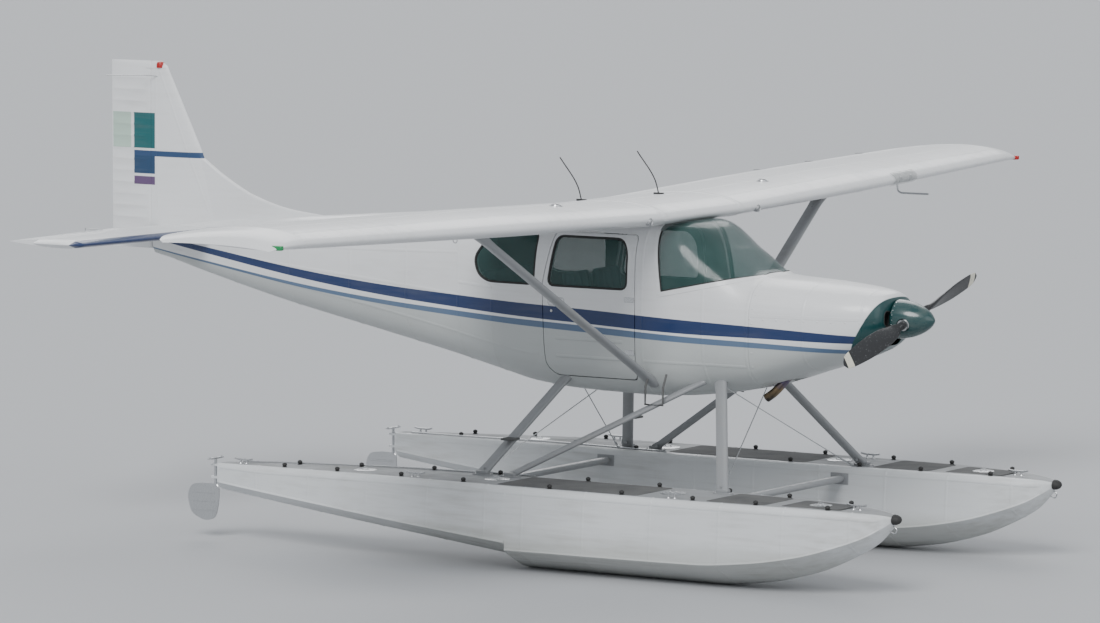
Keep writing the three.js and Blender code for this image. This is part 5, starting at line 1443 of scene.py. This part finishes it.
# Crossed brace wires between the legs, with a turnbuckle near each foot, and boarding steps.
turnbuckle = [(0.06, 0.004), (0.065, 0.0085), (0.15, 0.0085), (0.155, 0.004)]
wires = []
for foot_s, head_s in ((1.29, 1.665), (3.47, 2.985)):
    low, high = at((foot_s, head_s), (0.99, -0.38), (DECK_Z + 0.002, 1.4))
    wires += [tube([low, high], 0.0042, 8, AHEAD), turned(turnbuckle, low, high - low, 10),
              soft_block(low - (0.014, 0.008, 0.012), low + (0.014, 0.008, 0.022), 0.006)]
fit("brace_wires", mirrored(wires), *METAL)
low, high = leg_ends["rear"]
tread = low + 0.36 * (high - low)
tread_pad = soft_block(tread + (-0.05, 0.005, -0.01), tread + (0.06, 0.135, 0.006))
rung = at([2.06] * 3 + [2.22] * 3, 0.545 + np.array((0, 0.05, 0.055, 0.055, 0.05, 0)),
          1.47 - np.array((0, 0.1, 0.235, 0.235, 0.1, 0)))
fit("boarding_steps", mirrored([tread_pad, tube(rung, 0.009, 12, (1, 0, 0.3))]), "strut_paint", NON_SKID)


# Seats: two front seats and a rear bench, foam cushions in sewn cloth covers pressed into channels.
# The front ones stand on frames of welded steel tube over rails on the floor, and the bench on a box.
COVER_PRESSURE, COVER_FRAMES, COVER_GROWTH, CHANNEL_WIDTH = 4.0, 20, 0.012, 0.009


def stuffed(low, high, cell, depth, channels):
    """A cushion: a soft block remeshed into even cells and blown up as a sewn cover, no point moving
    further than its growth, then drawn in through its depth by exp(-(distance / width)^2) along
    each channel."""
    core = build("cushion_core", [soft_block(low, high, 0.035)])
    cells = core.modifiers.new("cells", "REMESH")
    cells.mode, cells.voxel_size = "VOXEL", cell
    rest, faces, _ = taken(core)
    bpy.data.objects.remove(core)
    cover = build("cushion_cover", [(rest, faces)])
    cloth = cover.modifiers.new("cover", "CLOTH").settings
    cloth.use_pressure, cloth.uniform_pressure_force = True, COVER_PRESSURE
    cloth.effector_weights.gravity = 0.0
    rest, faces, _ = taken(cover)
    for frame_number in range(1, COVER_FRAMES + 1):
        bpy.context.scene.frame_set(frame_number)
    step = taken(cover)[0] - rest
    bpy.context.scene.frame_set(1)
    bpy.data.objects.remove(cover)
    moved = np.maximum(np.linalg.norm(step, axis=1, keepdims=True), 1e-9)
    rest += step * np.minimum(1, COVER_GROWTH / moved)
    middle = (low[depth] + high[depth]) / 2
    press = sum(np.exp(-((rest[:, 1] - y) / CHANNEL_WIDTH) ** 2) for y in channels)
    rest[:, depth] = middle + (rest[:, depth] - middle) * (1 - 0.16 * press)
    return rest, faces


def leaned(part, s, z, degrees):
    """A part tipped aft about a line across the aircraft at station s and height z."""
    turn, line = math.radians(degrees), at(s, 0, z)
    x, y, up = (part[0] - line).T
    return line + np.stack([x * math.cos(turn) - up * math.sin(turn), y,
                            x * math.sin(turn) + up * math.cos(turn)], -1), *part[1:]


CLOTH = "seat_fabric", mottled(
    "seat_cloth", (0.085, 0.105, 0.135), (0.13, 0.15, 0.18), 12.0, 500.0, 0.9, relief=0.5, ribs=(190.0, "Y"),
    Sheen_Weight=0.35, Sheen_Roughness=0.5)
BELT_WEB = mottled("belt_webbing", (0.03, 0.03, 0.033), (0.05, 0.05, 0.052), 30.0, 600.0, 0.8)
front_channels, bench_channels = (0.125, 0.223, 0.321), (-0.24, -0.12, 0.0, 0.12, 0.24)
front = [stuffed(at(2.95, 0.052, 1.618), at(2.562, 0.394, 1.702), 0.01, 2, front_channels),
         leaned(stuffed(at(3.052, 0.052, 1.65), at(2.982, 0.394, 2.215), 0.01, 0, front_channels),
                3.017, 1.66, 9.3)]
bench = [stuffed(at(3.735, -0.36, 1.622), at(3.352, 0.36, 1.705), 0.012, 2, bench_channels),
         leaned(stuffed(at(3.838, -0.34, 1.65), at(3.77, 0.34, 2.19), 0.012, 0, bench_channels),
                3.8, 1.66, 8.5)]
for cushion in (*fit_pair("front_seat_cushion", front, *CLOTH, sharp=180, stands_for="front_seat"),
                fit("bench_cushion", bench, *CLOTH, sharp=180, stands_for=("rear_seat",))):
    smooth = cushion.modifiers.new("smooth", "SUBSURF")
    smooth.levels = smooth.render_levels = 1
seat_frame = [soft_block(at(2.955, 0.06, 1.601), at(2.57, 0.386, 1.612)),
              tube(at(2.6, (0.075, 0.371), 1.43), 0.008, 10, UP)]
for y in (0.075, 0.371):
    seat_frame += [soft_block(at(3.02, y - 0.014, 1.399), at(2.58, y + 0.014, 1.413), 0.004),
                   tube(at((2.615, 2.6, 2.955, 2.975), y, (1.41, 1.605, 1.605, 1.41)), 0.011, 10),
                   tube(at((2.95, 3.045, 3.128), y, (1.6, 1.66, 2.17)), 0.009, 10, count=16)]
fit_pair("front_seat_frame", seat_frame, "bare_aluminium", CAST_METAL)
strap = eased(at((2.985, 2.93, 2.86, 2.82, 2.86, 2.93, 2.985),
                 (0.04, 0.05, 0.1, 0.223, 0.346, 0.396, 0.406),
                 (1.6, 1.7, 1.729, 1.734, 1.729, 1.7, 1.6)), 60)
belt = carried(strap, strap - at(2.86, 0.223, 1.5), flat(0.023, 0.001))
fit_pair("lap_belt", [belt], "panel_plastic", BELT_WEB)
fit_pair("lap_buckle", [soft_block(at(2.85, 0.19, 1.731), at(2.792, 0.256, 1.745), 0.008)], *METAL)
fit("bench_box", [soft_block(at(3.66, -0.36, 1.399), at(3.4, 0.36, 1.575)),
                  soft_block(at(3.745, -0.37, 1.575), at(3.35, 0.37, 1.612))], "cabin_lining", CABIN_LINING)


# Instrument panel: a sheet panel in crackle black under a padded shelf, with round instruments on
# the pilot's side, a radio stack with blank faces, knobs, two control wheels and a pedestal.
PANEL_S, PANEL_LOW, SHELF_Z = 1.858, 1.8, 2.13
CRACKLE = mottled("crackle_black", (0.016, 0.017, 0.018), (0.035, 0.035, 0.037), 20.0, 900.0, 0.6, relief=0.8)
DIAL_BLACK = mottled("dial_black", (0.004, 0.004, 0.005), (0.008, 0.008, 0.009), 30.0, 400.0, 0.25)
DIAL_WHITE = mottled("dial_marks", (0.75, 0.75, 0.7), (0.66, 0.66, 0.62), 60.0, 400.0)
KNOB_RED = mottled("knob_red", (0.45, 0.015, 0.01), (0.36, 0.02, 0.015), 60.0, 300.0, 0.4)
GLOW_GREEN = mottled("display_glass", (0.01, 0.035, 0.022), (0.014, 0.05, 0.03), 60.0, 300.0, 0.12)


def lining_edge(s, z):
    """Paired places on the port and starboard cabin lining, as one outline of (y, the other one)."""
    half = side_width(s, z, -0.0435)
    run = z if np.ptp(z) else s
    return np.vstack([np.column_stack([half, run]), np.column_stack([-half, run])[::-1]])


def facing(y, z, out=0.0):
    """A place that stands out aft of the panel's face."""
    return at(PANEL_S + out, y, z)


face_edge = lining_edge(np.full(12, 1.84), np.linspace(PANEL_LOW, SHELF_Z, 12))
shelf_edge = lining_edge(np.linspace(1.425, 1.9, 24), np.full(24, SHELF_Z))[:, ::-1]
panel = [prism(face_edge, "front", 1.822, PANEL_S), prism(shelf_edge, "top", SHELF_Z, SHELF_Z + 0.021),
         soft_block(at(1.85, -0.07, 1.401), at(1.7, 0.07, 1.812)),
         tube(at(1.9, np.linspace(-0.39, 0.39, 30), SHELF_Z + 0.01), 0.013, 12, UP)]
dials = [(y, z, 0.039, 0.7 + 1.9 * column + 2.3 * row) for row, z in enumerate((2.066, 1.975))
         for column, y in enumerate((0.315, 0.222, 0.129))]
dials += [(y, z, 0.024, 4.0 + 0.8 * column - 0.5 * row) for row, z in enumerate((2.085, 2.02, 1.955))
          for column, y in enumerate((-0.185, -0.245, -0.305))] + [(0.345, 1.885, 0.024, 2.0)]
bezel = np.array([(0.0, 0.86), (0.0, 1.0), (0.006, 1.0), (0.009, 0.93), (0.004, 0.86)])
stroke = [(-0.0011, -0.0005), (-0.0011, 0.0006), (0.0011, 0.0006), (0.0011, -0.0005)]
ticks = [(math.pi / 6 * k, 0.64, 0.8) for k in range(12)]
marks = []
for y, z, radius, needle in dials:
    # A bezel, a black face, twelve ticks and a needle at its angle.
    panel.append(turned(bezel * (1, radius), facing(y, z), ASTERN, 32, around=True))
    marks.append(turned([(0, radius * 0.87), (0.002, radius * 0.87)], facing(y, z), ASTERN, 32))
    for angle, root, end in [*ticks, (needle, -0.18, 0.6)]:
        reach = radius * np.array((root, end))
        line = facing(y + reach * math.sin(angle), z + reach * math.cos(angle), 0.002)
        marks.append((*carried(line, ASTERN, stroke), 1))
for z in (2.085, 2.035, 1.985, 1.94):
    panel += [soft_block(facing(-0.115, z - 0.021, -0.004), facing(0.05, z + 0.021, 0.01), 0.003)]
    panel += [turned([(0, 0.01), (0.018, 0.008)], facing(y, z, 0.01), ASTERN, 16) for y in (-0.098, 0.032)]
    display = soft_block(facing(-0.08, z - 0.01, 0.008), facing(0.012, z + 0.013, 0.0112), 0.001)
    marks.append((*display, 3))
knob = [(0.045, 0.014), (0.052, 0.018), (0.064, 0.016), (0.068, 0.004)]
for y, paint in ((0.045, 0), (0.0, 1), (-0.045, 2)):
    panel.append(turned([(0, 0.005), (0.05, 0.005)], facing(y, 1.85), ASTERN, 12))
    marks.append((*turned(knob, facing(y, 1.85), ASTERN, 20), paint))
for k in range(7):
    y = 0.15 + 0.026 * k
    switch = soft_block(facing(y, 1.838, -0.002), facing(y + 0.014, 1.862, 0.008), 0.003)
    marks.append((*switch, 1 if k < 6 else 2))
fit("dash_panel", panel, "panel_plastic", CRACKLE, stands_for=("instrument_panel",))
fit("dash_dials", marks, "panel_plastic", DIAL_BLACK, DIAL_WHITE, KNOB_RED, GLOW_GREEN)
rim = np.array([(0.112, 2.04), (0.128, 1.995), (0.104, 1.956), (0.045, 1.946)])
rim = np.vstack([rim, (rim * (-1, 1))[::-1]])
column = [(0, 0.024), (0.008, 0.024), (0.01, 0.0125), (0.165, 0.0125)]
wheels = [tube(at(2.02, 0.24 + rim[:, 0], rim[:, 1]), 0.0125, 12, AHEAD, 60),
          soft_block(at(2.033, 0.185, 1.928), at(2.008, 0.295, 1.972), 0.012),
          turned(column, facing(0.24, 1.955, -0.002), ASTERN)]
pedals = []
for y in (0.33, 0.19):
    pad = soft_block(at(1.635, y - 0.042, 1.5), at(1.62, y + 0.042, 1.6), 0.006)
    pedals += [leaned(pad, 1.63, 1.5, -20), tube(at((1.6, 1.622), y, (1.405, 1.52)), 0.008, 10)]
fit("control_wheels", mirrored(wheels), *PLASTIC)
fit("rudder_pedals", mirrored(pedals), "bare_aluminium", CAST_METAL)
CARPET = mottled("floor_carpet", (0.07, 0.085, 0.105), (0.1, 0.115, 0.13), 9.0, 700.0, 0.95, relief=1.0)
for name, paint in (("cabin_floor", CARPET), ("firewall", PRIMED_METAL), ("baggage_bulkhead", CABIN_LINING)):
    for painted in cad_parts[name].material_slots:
        painted.material = paint


# Wing fittings: position lamps on the tips, a landing lamp behind a clear cover, filler caps, a
# pitot tube, cabin air intakes, tie-down rings, a fuel vent and static wicks.
def on_wing(y, x, side):
    """One place on the port wing's skin and its outward normal."""
    return [values[0] for values in foil_path(wing_section, [y], x, side)]


tip = (on_wing(5.395, 0.03, 1)[0] + on_wing(5.395, 0.03, -1)[0]) / 2
tip_lamp = [soft_block(tip - (0.06, 0.024, 0.017), tip + (0.058, 0.024, 0.017), 0.022, 8)]
filler, filler_up = on_wing(1.52, 0.24, 1)
tie, tie_up = on_wing(2.75, 0.3, -1)
ring_x, ring_z = oval(0.018, 0.018, 24).T
ring = tie + 0.026 * tie_up + np.stack([ring_x, 0 * ring_x, ring_z], -1)
intake_lip = [(-0.02, 0.022), (-0.02, 0.03), (0.01, 0.03), (0.013, 0.027), (0.01, 0.023)]
both_wings = [
    turned([(-0.003, 0.052), (0.004, 0.05), (0.005, 0.04), (0.012, 0.037)], filler, filler_up, 32),
    soft_block(filler - (0.03, 0.005, -0.011), filler + (0.03, 0.005, 0.019), 0.004),
    carried(ring, PORT, oval(0.0035, 0.0035, 8), around=True),
    turned([(-0.004, 0.016), (0.003, 0.016), (0.01, 0.006)], tie, tie_up, 16),
    turned(intake_lip, on_wing(0.8, 0.004, -1)[0], AHEAD, 28, around=True)]
vent, pitot = on_wing(2.2, 0.6, -1)[0], on_wing(3.62, 0.2, -1)[0]
mast = [(0, 0, 0.005), (0.01, 0, -0.085), (0.05, 0, -0.105), (0.3, 0, -0.105)]
one_wing = [tube(vent - [(0, 0, -0.004), (0, 0, 0.035), (0.045, 0, 0.05)], 0.006, 10, count=12),
            tube(pitot + mast, 0.0085, 12, count=30)]
reflector = [(-0.012, 0.026), (0.003, 0.024), (0.001, 0.014), (0.0, 0.002)]
for y in (3.13, 3.31):
    one_wing.append(turned(reflector, on_foil(wing_section(y), np.zeros(1), 1)[0, 0], AHEAD, 28))
fit("wing_fittings", one_wing + mirrored(both_wings), *METAL)

# The landing lamp's cover follows the leading edge, bowed a little clear of it.
arc = np.linspace(-1, 1, 19)
section, share = wing_section(np.linspace(3.02, 3.42, 9)), np.abs(arc) ** 1.6 * 0.034
rows = np.where((arc < 0)[:, None], on_foil(section, share, -1), on_foil(section, share, 1))
out = square_to(np.gradient(rows, axis=0), np.gradient(rows, axis=1))
out *= np.sign(out[4, 9, 0])
cover = tubular(np.concatenate([rows + 0.01 * out, (rows + 0.007 * out)[:, ::-1]], 1))
for name, lamps, paint in (("red", tip_lamp, RED_LENS), ("green", mirror_to(-1, tip_lamp), GREEN_LENS),
                           ("clear", [cover], CLEAR_LENS)):
    fit(f"wing_lamp_{name}", lamps, "window_glass", paint)
trails = [on_wing(y, 0.985, 1)[0] for y in (3.4, 4.1, 4.8)]
fit_pair("static_wicks", [tube([trail, trail - (0.11, 0, 0.004)], 0.0022, 6, UP) for trail in trails],
         *PLASTIC, body="aileron")
